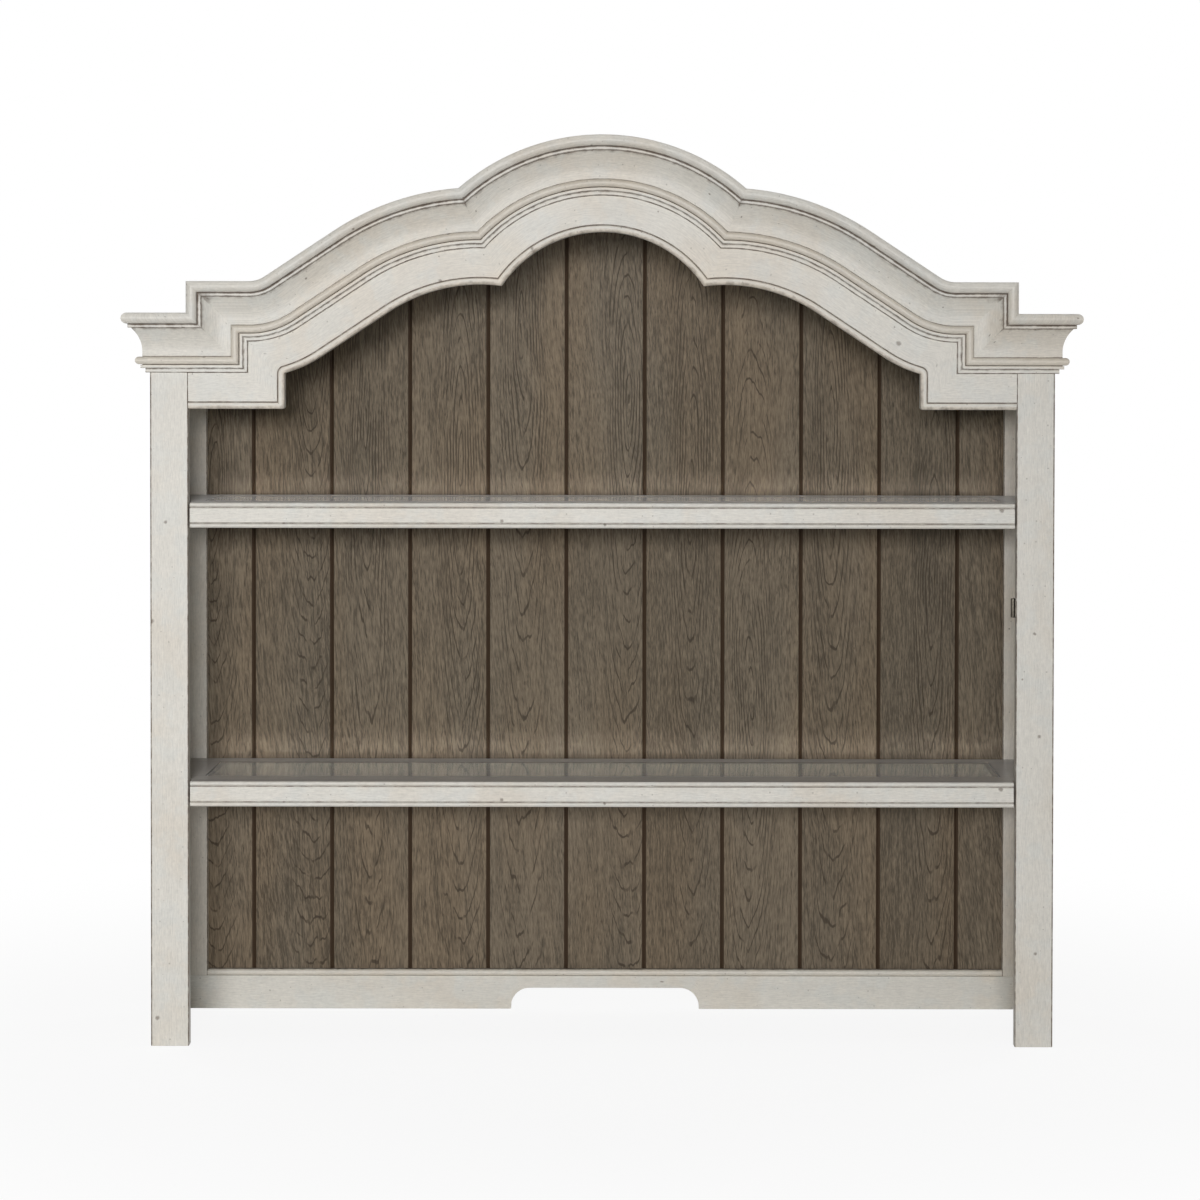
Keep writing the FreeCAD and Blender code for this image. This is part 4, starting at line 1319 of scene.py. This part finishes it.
@dataclass(frozen=True)
class Roof:
    """Roof boards over the crown, with a rounded front edge that tops the moulding."""

    crown: Crown
    fit: float = 0.2 * MM
    reach: float = 38 * MM
    stained: float = 2 * MM

    @cached_property
    def edge_radius(self) -> float:
        """Half of the boards' thickness, by which their front edge is rounded."""
        return (self.crown.line.roof_top - self.crown.line.crown_rise - self.fit) / 2

    def section(self, back_reach: float) -> Section:
        """Board's section from its back edge, under and round the front, and back over the top."""
        low = self.crown.line.crown_rise + self.fit
        high = self.crown.line.roof_top
        radius = self.edge_radius
        clean = self.reach - radius - self.stained
        return Section.of([
            Corner(low, back_reach, radius=0.6 * MM),
            Corner(low, clean, radius=0.0, fade=0.0),
            # The underside's glazing, fading up over 5.5 mm, is painted shade on the downward face of
            # the round edge; the thin line along its top is glazing.
            Bow(low + radius, self.reach - radius, radius, -math.pi / 2, math.pi / 2, points=26,
                glaze_and_shade=(0.85, 0.7), fade=(5.5 * MM, 1.8 * MM)),
            Corner(high, clean, radius=0.0, fade=0.0),
            Corner(high, back_reach, radius=0.6 * MM),
        ])

    def end(self) -> Surface:
        """Right-hand end board: outlines that follow the rounded edge, stacked from bottom to top.

        Each outline has the corners (step + rise, front), (side, front), (side, back) and
        (step + rise, back), where front and side stand out by the section's reach. One more outline
        inside the lowest and the highest ends the glaze beside the edge.
        """
        arch = self.crown.line
        band = self.section(0.0)
        edge = band.points[:, 1] > self.reach - 1.001 * self.edge_radius
        order = np.argsort(band.points[edge, 0], kind="stable")
        rise, reach = band.points[edge][order].T
        glaze_and_shade = band.glaze_and_shade[edge][order]
        x = (arch.step_half + rise, arch.case_half + reach)
        y = (arch.face_y - reach, np.full_like(rise, arch.back_y))
        plan = np.stack([
            np.stack([x[across], y[deep]], axis=1) for across, deep in ((0, 0), (1, 0), (1, 1), (0, 1))
        ], axis=1)
        inward = self.stained * np.array([[1.0, 1.0], [-1.0, 1.0], [-1.0, -1.0], [1.0, -1.0]])
        plan = np.concatenate([plan[:1] + inward, plan, plan[-1:] + inward])
        plan = np.concatenate([plan, plan[:, :1]], axis=1)
        rise = np.concatenate([rise[:1], rise, rise[-1:]])
        glaze_and_shade = np.concatenate([[0.0], glaze_and_shade, [0.0]])
        height = np.broadcast_to((arch.end_height + rise)[:, None, None], plan.shape[:2] + (1,))
        ring = plain_section(plan[-1] - plan[-1].mean(axis=0))
        return Surface(np.concatenate([plan, height], axis=-1), rise - rise[0], ring, glaze_and_shade[:, None])

    def dress(self, finishes: Finishes) -> None:
        """Makes the roof boards."""
        section = self.section(self.crown.line.face_y - self.crown.line.back_y)
        dress("roof_center", [self.crown.center(section)], finishes.paint)
        dress_both("roof_wave", [self.crown.wave(section)], finishes.paint)
        dress_both("roof_riser", [self.crown.riser(section)], finishes.paint)
        dress_both("roof_end", [self.end()], finishes.paint)


@dataclass(frozen=True)
class Fascia:
    """Arched board between the stiles, with a groove and a rounded bead along its lower edge."""

    line: ArchLine
    bead_width: float = 9.5 * MM
    bead_radius: float = 3.6 * MM
    groove_width: float = 1.6 * MM
    groove_depth: float = 1.6 * MM
    corner_radius: float = 1.5 * MM
    outer_radius: float = 4 * MM
    crown_glaze: float = 0.8
    cusp_tint: float = 75 * MM
    fold_glaze: float = 0.3
    fold_fade: float = 1.2 * MM
    end_glaze: float = 0.7
    end_fade: float = 1 * MM

    @cached_property
    def drop(self) -> float:
        """How far the lower edge lies below the arch line."""
        return self.line.end_height - node_box("arch_fascia")[0][2]

    @cached_property
    def half_width(self) -> float:
        """Half of the board's width."""
        return node_box("arch_fascia")[1][0]

    def section(self) -> Section:
        """Section from the lower back edge, round the bead and its groove, and up behind the crown."""
        low = -self.drop
        groove_low = low + self.bead_width
        groove_high = groove_low + self.groove_width
        thickness = node_box("arch_fascia")[1][1] - self.line.face_y
        return Section.of([
            Corner(low, -thickness, radius=0.6 * MM),
            # The bead's lower edge carries glazing and the worn tone, fading over 4.2 mm: painted
            # shade on its downward face.
            Corner(low, 0.0, radius=self.bead_radius, glaze_and_shade=0.46, wear=0.7, fade=4.2 * MM),
            Corner(groove_low, 0.0, radius=1.4 * MM, wear=0.4, fade=0.8 * MM),
            Corner(groove_low, -self.groove_depth, radius=0.3 * MM, glaze_and_shade=1.0),
            Corner(groove_high, -self.groove_depth, radius=0.3 * MM, glaze_and_shade=1.0),
            Corner(groove_high, 0.0, radius=0.4 * MM, glaze_and_shade=0.35, fade=0.6 * MM),
            Corner(-0.2 * MM, 0.0, radius=0.0, glaze_and_shade=self.crown_glaze, fade=1.3 * MM),
            Corner(self.line.crown_rise, 0.0),
            Corner(self.line.crown_rise, -thickness),
        ])

    def path(self, rise: Array) -> Array:
        """Path of every rise along the whole board.

        The corner above the riser is rounded by a radius that grows with the rise up to the groove
        and is gone at the crown; the corner below it is rounded only at the bead's lower edge.
        """
        arch = self.line
        groove = self.bead_width + self.groove_width - self.drop
        widest = self.corner_radius + self.drop + groove
        inner = np.interp(rise, [-self.drop, groove, 0.0], [self.corner_radius, widest, 0.0])
        outer = np.interp(
            rise, [-self.drop, self.bead_width - self.drop], [self.outer_radius, 0.2 * MM])
        corner, turn = arch.inner_corner(rise, inner)
        step_x = arch.step_half + rise
        low = arch.end_height + rise
        foot_center = step_x + outer + 1j * (low + outer)
        return both_halves(np.concatenate([
            arch.center(spaced(44, 170 * MM), rise),
            arch.lobe(spaced(34, 200 * MM), rise),
            arch.incline(spaced(3), rise),
            arch.hollow(spaced(22), rise, inner),
            arch.tread(spaced(2), rise, inner),
            arc(corner, inner, turn - math.pi, math.pi / 2, spaced(10)),
            line(step_x + 1j * corner.imag, step_x + 1j * (low + outer), spaced(3)),
            arc(foot_center, outer, 1.5 * math.pi, math.pi, spaced(6)),
            line(step_x + outer + 1j * low, self.half_width + 1j * low, spaced(6, 90 * MM)),
        ]))

    def dress(self, finishes: Finishes) -> None:
        """Makes the board, yellowed round its cusps, with glaze in their folds and at its ends."""
        section = self.section()
        path = self.path(section.points[:, 0])
        cusp = self.line.cusp(section.points[0, 0])
        away = np.minimum(np.abs(path - cusp), np.abs(path + np.conj(cusp)))
        folds = self.fold_glaze * np.clip(1 - away[:, :1] / self.fold_fade, 0.0, 1.0)
        along = distances(path[:, 0])
        ends = joint_shade(along, (self.end_glaze, self.end_glaze), self.end_fade)
        board = moulded(section, path, self.line.face_y, along, np.maximum(folds, ends))
        board.rubbed = np.clip(1 - away / self.cusp_tint, 0.0, 1.0)**1.5
        dress("arch_fascia", [board], finishes.paint)


@dataclass(frozen=True)
class Case:
    """Stiles, side panels, back strips, bottom rail and its cap."""

    stile_radius: float = 2 * MM
    panel_radius: float = 1 * MM
    cutout_half: float = 149.5 * MM
    cutout_height: float = 33.5 * MM
    cutout_radius: float = 30 * MM

    def stile(self) -> Surface:
        """Right-hand front stile; its inner front edge holds a line of glaze."""
        soft = {"radius": self.stile_radius, "wear": 0.3, "glaze_and_shade": 0.75, "fade": 0.3 * MM}
        inner = {"radius": 1.2 * MM, "glaze_and_shade": 0.75, "fade": 0.4 * MM}
        return slab(*node_box("stile_right"), Axis.UPRIGHT, edges=(inner, soft, {}, {}))

    def rail_surface(self) -> Surface:
        """Bottom rail with its wire cut-out.

        The rail's section is carried across the width while its lower edge follows the cut-out: up
        its side, round a quarter circle, level, and down again on the other side.
        """
        low, high = node_box("bottom_rail")
        half, cut_high, radius = self.cutout_half, self.cutout_height, self.cutout_radius
        turn = np.linspace(math.pi / 2, 0.0, 14)
        corner_x = half - radius + radius * np.sin(turn)
        corner_z = cut_high - radius + radius * np.cos(turn)
        right_x = np.concatenate([[0.0, 60 * MM], corner_x[::-1], [half, high[0]]])
        right_z = np.concatenate([[cut_high, cut_high], corner_z[::-1], [0.0, 0.0]])
        x = np.concatenate([-right_x[::-1], right_x[1:]])
        floor = np.concatenate([right_z[::-1], right_z[1:]])
        flat = box_section((low[1], low[2]), (high[1], high[2]), 0.8 * MM)
        share = (flat.points[:, 1] - low[2]) / (high[2] - low[2])
        height = floor[:, None] + (high[2] - floor[:, None]) * share
        depth = np.broadcast_to(flat.points[:, 0], height.shape)
        points = np.stack([np.broadcast_to(x[:, None], height.shape), depth, height], axis=-1)
        return Surface(points, x - x[0], flat)

    def cap_surface(self) -> Surface:
        """Rounded moulding on the bottom rail: a half round in front, square behind."""
        low, high = node_box("bottom_rail_cap")
        radius = (high[2] - low[2]) / 2
        section = Section.of([
            Corner(high[1], low[2], radius=0.2 * MM),
            # The glazing over the top, darkest at its back edge, is painted shade against the planks;
            # at the foot it is a joint line.
            Bow(low[1] + radius, low[2] + radius, radius, -math.pi, 0.0, points=16,
                glaze_and_shade=(0.8, 0.75), fade=(2 * MM, 6 * MM), wear=0.4),
            Corner(high[1], high[2], radius=0.2 * MM, glaze_and_shade=1.0, fade=8 * MM),
        ])
        return run_between(section, Axis.ACROSS, low[0], high[0], 0.3 * MM)

    def dress(self, finishes: Finishes) -> None:
        """Makes the pieces of the case, left and right."""
        glazed_and_shaded = {"glaze_and_shade": 0.8, "radius": 0.8 * MM, "fade": 1.0 * MM}
        panel = slab(*node_box("side_panel_right"), Axis.UPRIGHT, self.panel_radius)
        strip_edges = (glazed_and_shaded, {"glaze_and_shade": 0.6}, {}, {})
        strip = slab(*node_box("back_stile_right"), Axis.UPRIGHT, edges=strip_edges)
        dress_both("stile", [self.stile()], finishes.paint)
        dress_both("side_panel", [panel], finishes.paint)
        # The back strips take the darker, warmer copy of the paint as painted shade.
        dress_both("back_stile", [strip], finishes.aged)
        dress("bottom_rail", [self.rail_surface()], finishes.paint)
        dress("bottom_rail_cap", [self.cap_surface()], finishes.paint)


@dataclass(frozen=True)
class PlankBack:
    """Tongued and grooved planks, with a V where two meet, cut to the line of the roof."""

    line: ArchLine
    pitch: float = PLANK_PITCH
    chamfer: tuple[float, float] = (3 * MM, 2.2 * MM)
    tongue: tuple[float, float] = (4 * MM, 2.6 * MM)
    fit: float = 0.3 * MM
    spacing: float = 2 * MM
    stain_edge: float = 0.5 * MM
    roof_gap: float = 0.1 * MM
    seam: float = 0.03 * MM
    grain_length: float = 1.1
    each_side: int = 5

    def section(self, index: int) -> Section:
        """Plan of one plank, as (x, y) points, with its chamfers stained dark."""
        low, high = node_box("back_plank_06")
        front, back = low[1], high[1]
        left, right = (index - 0.5) * self.pitch, (index + 0.5) * self.pitch
        panel = node_box("side_panel_right")[0][0] - self.fit
        tongue_front = back - (back - front + self.tongue[1]) / 2
        tongue_back = tongue_front + self.tongue[1]
        slot_end = left + self.tongue[0] + self.fit
        deep = {"glaze_and_shade": 1.0, "radius": 0.0, "fade": 0.0}
        bare = {"radius": 0.0, "fade": 0.0}
        corners = [
            Corner(left + self.chamfer[0], front, **deep),
            Corner(left + self.chamfer[0] + self.stain_edge, front, **bare),
            Corner(right - self.chamfer[0] - self.stain_edge, front, **bare),
            Corner(right - self.chamfer[0], front, **deep),
            Corner(right, front + self.chamfer[1], **deep),
            Corner(right, tongue_front, **deep),
            Corner(right + self.tongue[0], tongue_front, **deep),
            Corner(right + self.tongue[0], tongue_back, **deep),
            Corner(right, tongue_back, **deep),
            Corner(right, back, **bare),
            Corner(left, back, **bare),
            Corner(left, tongue_back + self.fit, **deep),
            Corner(slot_end, tongue_back + self.fit, **deep),
            Corner(slot_end, tongue_front - self.fit, **deep),
            Corner(left, tongue_front - self.fit, **deep),
            Corner(left, front + self.chamfer[1], **deep),
        ]
        return Section.of(corners).refined(self.spacing).clipped(-panel, panel)

    def raised(self, section: Section, foot: float, top: Array) -> Surface:
        """A plan carried up from a level foot to a height of its own at each point."""
        share = spaced(3)
        height = line(foot, top, share)
        x, y = (np.broadcast_to(value, height.shape) for value in section.points.T)
        return Surface(np.stack([x, y, height], axis=-1), share[:, 0] * self.grain_length, section)

    def plank(self, index: int) -> list[Surface]:
        """One plank up to the roof line; under the riser it is a low part and a narrower high one."""
        section = self.section(index)
        foot = node_box("bottom_rail")[1][2]
        rise = self.line.crown_rise - self.roof_gap
        step_x = self.line.step_half + rise
        away = np.abs(section.points[:, 0])
        if away.max() < step_x:
            return [self.raised(section, foot, self.line.top_over(away, rise))]
        tread = self.line.end_height + rise
        inner = section.clipped(-step_x, step_x)
        under = np.minimum(np.abs(inner.points[:, 0]), step_x - self.roof_gap)
        return [
            self.raised(section, foot, np.full_like(away, tread - self.seam)),
            self.raised(inner, tread, self.line.top_over(under, rise)),
        ]

    def dress(self, finishes: Finishes) -> None:
        """Makes the planks from left to right."""
        for number in range(1, 2 * self.each_side + 2):
            plank = self.plank(number - 1 - self.each_side)
            dress(f"back_plank_{number:02d}", plank, finishes.planks)


@dataclass(frozen=True)
class Shelf:
    """Loose shelf: a reeded nosing, a stained frame rebated for glass, the pane and its pins."""

    name: str
    bead_radius: float = 3.5 * MM
    groove_width: float = 1.6 * MM
    groove_depth: float = 2 * MM
    paint_lap: float = 1 * MM
    lip: float = 9 * MM
    pin_plate: float = 2 * MM
    pin_width: float = 12 * MM
    pin_ledge: float = 11 * MM
    pin_shank: tuple = ((-1.0, 2.4), (9.0, 2.4), (9.5, 1.9))

    def node(self, part: str) -> str:
        """Name of one of the shelf's nodes."""
        return f"{self.name}_shelf_{part}"

    def nosing(self) -> Surface:
        """Front edge: a flat between two beads, with a dark groove at each.

        The section's first value is y and its second z; a bead is an arc from the face to its groove.
        """
        low, high = node_box(self.node("nosing"))
        front, back, bottom, top = low[1], high[1], low[2], high[2]
        radius = self.bead_radius
        floor = front + self.groove_depth
        turn = math.acos((radius - self.groove_depth) / radius)
        chord = radius * math.sin(turn)
        flat_low = bottom + radius + chord + self.groove_width
        flat_high = top - radius - chord - self.groove_width
        dark = {"radius": 0.2 * MM, "glaze_and_shade": 1.2, "fade": 0.8 * MM}
        edge = {"radius": 0.5 * MM}
        section = Section.of([
            Corner(back, bottom),
            Bow(front + radius, bottom + radius, radius, -math.pi, -math.pi / 2 + turn,
                glaze_and_shade=(0.4, 1.0), fade=(1.5 * MM, 0.7 * MM)),
            Corner(floor, flat_low, **dark),
            Corner(front, flat_low, **edge),
            Corner(front, flat_high, **edge),
            Corner(floor, flat_high, **dark),
            Bow(front + radius, top - radius, radius, -math.pi / 2 - turn, 0.0,
                glaze_and_shade=(1.0, 0.8), fade=(0.7 * MM, 1.5 * MM)),
            Corner(front + radius + self.paint_lap, top, radius=0.0, fade=0.0, glaze_and_shade=0.9, coat=1),
            Corner(back, top, radius=0.3 * MM, glaze_and_shade=0.5, fade=0.8 * MM, coat=1),
        ])
        return run_between(section, Axis.ACROSS, low[0], high[0], 0.6 * MM, (0.6, 0.6))

    def long_rail(self, part: str) -> Surface:
        """Front or back rail: its rebate's lip shrinks to nothing over the side rails.

        The section's first value is y and its second z. The lip's points slide back to the rail's own
        face on the rows outside the pane's length, and the two rows at each end of it share one place.
        """
        low, high = node_box(self.node(part))
        pane = node_box(self.node("glass"))[0]
        side_face = node_box(self.node("side_rail_right"))[0][0] + self.lip
        inward = 1.0 if part == "front_rail" else -1.0
        outer, inner = (low[1], high[1]) if inward > 0 else (high[1], low[1])
        face = inner - inward * self.lip
        section = Section.of([
            Corner(outer, low[2]), Corner(inner, low[2]), Corner(inner, pane[2]),
            Corner(face, pane[2], radius=0.2 * MM), Corner(face, high[2], radius=0.8 * MM, glaze_and_shade=0.3),
            Corner(outer, high[2], radius=0.8 * MM, glaze_and_shade=0.5),
        ])
        whole = run_between(section, Axis.ACROSS, low[0], high[0], 0.6 * MM)
        tucked = whole.points.copy()
        tucked[..., 1] = np.minimum(tucked[..., 1] * inward, face * inward) * inward
        rows = len(tucked) // 2
        across = np.array([1.0, 0.0, 0.0])
        steps = [
            shape[rows - 1] * [0.0, 1.0, 1.0] + across * x
            for shape, x in ((tucked, -side_face), (whole.points, -side_face),
                             (whole.points, side_face), (tucked, side_face))
        ]
        points = np.concatenate([tucked[:rows], np.array(steps), tucked[rows:]])
        return Surface(points, points[:, 0, 0] - low[0], section)

    def side_rail(self) -> list[Surface]:
        """Right-hand side rail, its lip set back from both ends of the pane."""
        low, high = node_box(self.node("side_rail_right"))
        pane_z = node_box(self.node("glass"))[0][2]
        face = low[0] + self.lip
        section = Section.of([
            Corner(low[2], face, radius=0.3 * MM), Corner(high[2], face, radius=0.8 * MM, glaze_and_shade=0.3),
            Corner(high[2], high[0], radius=0.8 * MM), Corner(low[2], high[0]),
        ])
        main = run_between(section, Axis.DEEP, low[1], high[1], 0.3 * MM, (0.8, 0.8))
        lip_low = (low[0], low[1] + self.lip, low[2])
        lip_high = (face + 1 * MM, high[1] - self.lip, pane_z)
        return [main, slab(lip_low, lip_high, Axis.DEEP, 0.4 * MM)]

    def pins(self) -> list[Surface]:
        """Four shelf pins: a plate on the panel, a ledge under the shelf and a round shank."""
        low, high = node_box(self.node("pins"))
        panel = node_box("side_panel_right")[0][0]
        plate, ledge = panel - self.pin_plate, panel - self.pin_ledge
        shelf_foot = high[2] - self.pin_plate
        profile = Section.of([
            Corner(low[2], plate, radius=0.4 * MM),
            Corner(shelf_foot, plate, radius=1.2 * MM),
            Corner(shelf_foot, ledge, radius=0.6 * MM),
            Corner(high[2], ledge, radius=0.6 * MM),
            Corner(high[2], panel, radius=0.2 * MM),
            Corner(low[2], panel, radius=0.2 * MM),
        ])
        surfaces = []
        for front in (low[1], high[1] - self.pin_width):
            center = (panel, front + self.pin_width / 2, (low[2] + high[2]) / 2)
            bracket = run_between(profile, Axis.DEEP, front, front + self.pin_width, 0.4 * MM)
            shank = turned(np.array(self.pin_shank) * MM, center, Axis.ACROSS, 20)
            surfaces += [bracket, shank, bracket.mirrored(), shank.mirrored()]
        return surfaces

    def dress(self, finishes: Finishes) -> None:
        """Makes the shelf, its glass and its pins."""
        dress(self.node("nosing"), [self.nosing()], finishes.paint, finishes.shelf)
        dress(self.node("front_rail"), [self.long_rail("front_rail")], finishes.shelf)
        dress(self.node("back_rail"), [self.long_rail("back_rail")], finishes.shelf)
        dress_both(self.node("side_rail"), self.side_rail(), finishes.shelf)
        pane = slab(*node_box(self.node("glass")), Axis.ACROSS, 0.7 * MM)
        dress(self.node("glass"), [pane], finishes.glass)
        dress(self.node("pins"), self.pins(), finishes.steel)


@dataclass(frozen=True)
class Fittings:
    """Touch switch, and the lamp with its board and dimmer behind the fascia."""

    barrel_radius: float = 3.6 * MM
    end_radius: float = 1.4 * MM
    plate: float = 1.2 * MM

    def switch(self) -> list[Surface]:
        """Barrel with rounded ends on a thin plate, on the inner edge of the right stile.

        The barrel's end turns in by end_radius * (1 - cosine) as it climbs end_radius * sine.
        """
        low, high = node_box("touch_switch")
        middle = (low + high) / 2
        half = (high[2] - low[2]) / 2
        turn = np.linspace(0.0, math.pi / 2, 6)
        climb = half - self.end_radius + self.end_radius * np.sin(turn)
        width = self.barrel_radius - self.end_radius + self.end_radius * np.cos(turn)
        ring = np.array([[0.0, self.barrel_radius], [half * 0.6, self.barrel_radius]])
        upper = np.concatenate([ring, np.stack([climb, width], axis=1)])
        profile = np.concatenate([upper[::-1] * [-1.0, 1.0], upper[1:]])
        plate_low = (high[0] - self.plate, low[1], low[2] + self.plate)
        plate_high = (high[0], high[1], high[2] - self.plate)
        return [
            turned(profile, (high[0] - self.barrel_radius, middle[1], middle[2]), Axis.UPRIGHT, 40),
            slab(plate_low, plate_high, Axis.UPRIGHT, 0.3 * MM),
        ]

    def dress(self, finishes: Finishes) -> None:
        """Makes the fittings."""
        dress("touch_switch", self.switch(), finishes.bronze)
        for node, coat in (("lamp_board", finishes.shelf), ("lamp_diffuser", finishes.diffuser)):
            dress(node, [slab(*node_box(node), Axis.ACROSS, 1.0 * MM)], coat)
        for node in ("lamp", "dimmer_box"):
            piece = frame["nodes"][node]
            piece.data.materials.clear()
            piece.data.materials.append(finishes.plastic)
            log.info("%s keeps its own shape", node)


# Studio


@dataclass(frozen=True)
class Lamp:
    """Soft rectangular lamp aimed at a point, with its power in watts and its spread in degrees."""

    name: str
    place: tuple[float, float, float]
    aim: tuple[float, float, float]
    size: tuple[float, float]
    power: float
    spread: float = 180.0

    def light(self) -> None:
        """Adds the lamp to the scene."""
        data = bpy.data.lights.new(self.name, "AREA")
        data.shape = "RECTANGLE"
        data.size, data.size_y = self.size
        data.energy = self.power
        data.spread = math.radians(self.spread)
        lamp = bpy.data.objects.new(self.name, data)
        lamp.location = self.place
        beam = Vector(self.aim) - Vector(self.place)
        lamp.rotation_euler = beam.to_track_quat("-Z", "Y").to_euler()
        bpy.context.scene.collection.objects.link(lamp)


@dataclass(frozen=True)
class Studio:
    """White room with a pale floor, soft lamps and the photograph's viewpoint."""

    backdrop: tuple = (1.0, 1.0, 1.0, 1.0)
    near_glow: float = 0.9
    fade_out: tuple[float, float] = (0.7, 1.9)
    floor_tone: float = 0.86
    floor_reach: float = 40.0
    room_level: float = 0.1
    lamps: tuple[Lamp, ...] = (
        Lamp("key_lamp", (-0.5, -10.0, 1.85), (-0.9, 0.0, 0.55), (2.5, 1.25), 50.5, 51.0),
        Lamp("top_lamp", (0.0, -0.6, 4.2), (0.0, 0.0, 0.6), (2.0, 1.0), 26.0),
        Lamp("back_lamp_left", (-3.6, 3.6, 2.2), (0.0, 0.1, 0.6), (1.5, 1.5), 60.0),
        Lamp("back_lamp_right", (3.6, 3.6, 2.2), (0.0, 0.1, 0.6), (1.5, 1.5), 60.0),
    )
    viewpoint: tuple = (0.0843, -5.290, 1.0369)
    lens: float = 103.14
    sensor: float = 36.0
    shift: tuple = (-0.049, -0.1398)
    tilt: float = math.radians(1.25)
    roll: float = math.radians(0.09)

    def floor(self) -> None:
        """Wide pale floor that shows white to the camera, with the object's soft shadow."""
        mesh = bpy.data.meshes.new("studio_floor")
        corners = np.array([[-1, -1, 0], [1, -1, 0], [1, 1, 0], [-1, 1, 0]]) * self.floor_reach
        mesh.from_pydata(corners.tolist(), [], [(0, 1, 2, 3)])
        g = Coat("studio_floor")
        glow = g.value("ShaderNodeEmission", {"Color": self.backdrop, "Strength": 1.0})
        place = g.outputs("ShaderNodeTexCoord")["Object"]
        away = g.outputs("ShaderNodeVectorMath", {0: place}, operation="LENGTH")["Value"]
        share = g.seen() * g.ease(away, *self.fade_out, self.near_glow, 1.0)
        g.join(g.mixed(share, g.plain, glow), g.shown)
        grey = (self.floor_tone,) * 3 + (1.0,)
        mesh.materials.append(g.finished({"Base Color": grey, "Roughness": 0.9}))
        floor = bpy.data.objects.new("studio_floor", mesh)
        bpy.context.scene.collection.objects.link(floor)

    def room(self) -> None:
        """World that is white to the camera and an even grey light to everything else."""
        world = bpy.data.worlds.new("studio_room")
        world.use_nodes = True
        bpy.context.scene.world = world
        g = Graph(world.node_tree)
        g.tree.nodes.clear()
        level = g.seen() * (1.0 - self.room_level) + self.room_level
        light = g.value("ShaderNodeBackground", {"Color": self.backdrop, "Strength": level})
        g.add("ShaderNodeOutputWorld", {0: light})

    def camera(self) -> None:
        """Camera at the photograph's eye point; its shift keeps upright lines nearly parallel."""
        data = bpy.data.cameras.new("viewpoint")
        data.lens = self.lens
        data.sensor_width = self.sensor
        data.shift_x, data.shift_y = self.shift
        camera = bpy.data.objects.new("viewpoint", data)
        camera.location = self.viewpoint
        camera.rotation_euler = (math.pi / 2 - self.tilt, -self.roll, 0.0)
        bpy.context.scene.collection.objects.link(camera)
        bpy.context.scene.camera = camera

    def set_up(self) -> None:
        """Sets the floor, room, lamps, camera and plain view.

        Reflections stay sharp, so that the panes throw a band of light on the planks behind them.
        """
        self.floor()
        self.room()
        for lamp in self.lamps:
            lamp.light()
        self.camera()
        bpy.context.scene.view_settings.view_transform = "Standard"
        bpy.context.scene.cycles.blur_glossy = 0.0


def main() -> None:
    """Builds the hutch, sub-assembly by sub-assembly, and the studio round it."""
    logging.basicConfig(level=logging.INFO, format="%(name)s: %(message)s")
    Studio().set_up()
    finishes = Finishes.mixed()
    arch = ArchLine.from_frame()
    crown = Crown(arch)
    parts = (
        crown, Roof(crown), Fascia(arch), Case(), PlankBack(arch),
        Shelf("lower"), Shelf("upper"), Fittings(),
    )
    for part in parts:
        log.info("making %s", type(part).__name__)
        part.dress(finishes)
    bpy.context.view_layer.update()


if __name__ == "__main__":
    main()
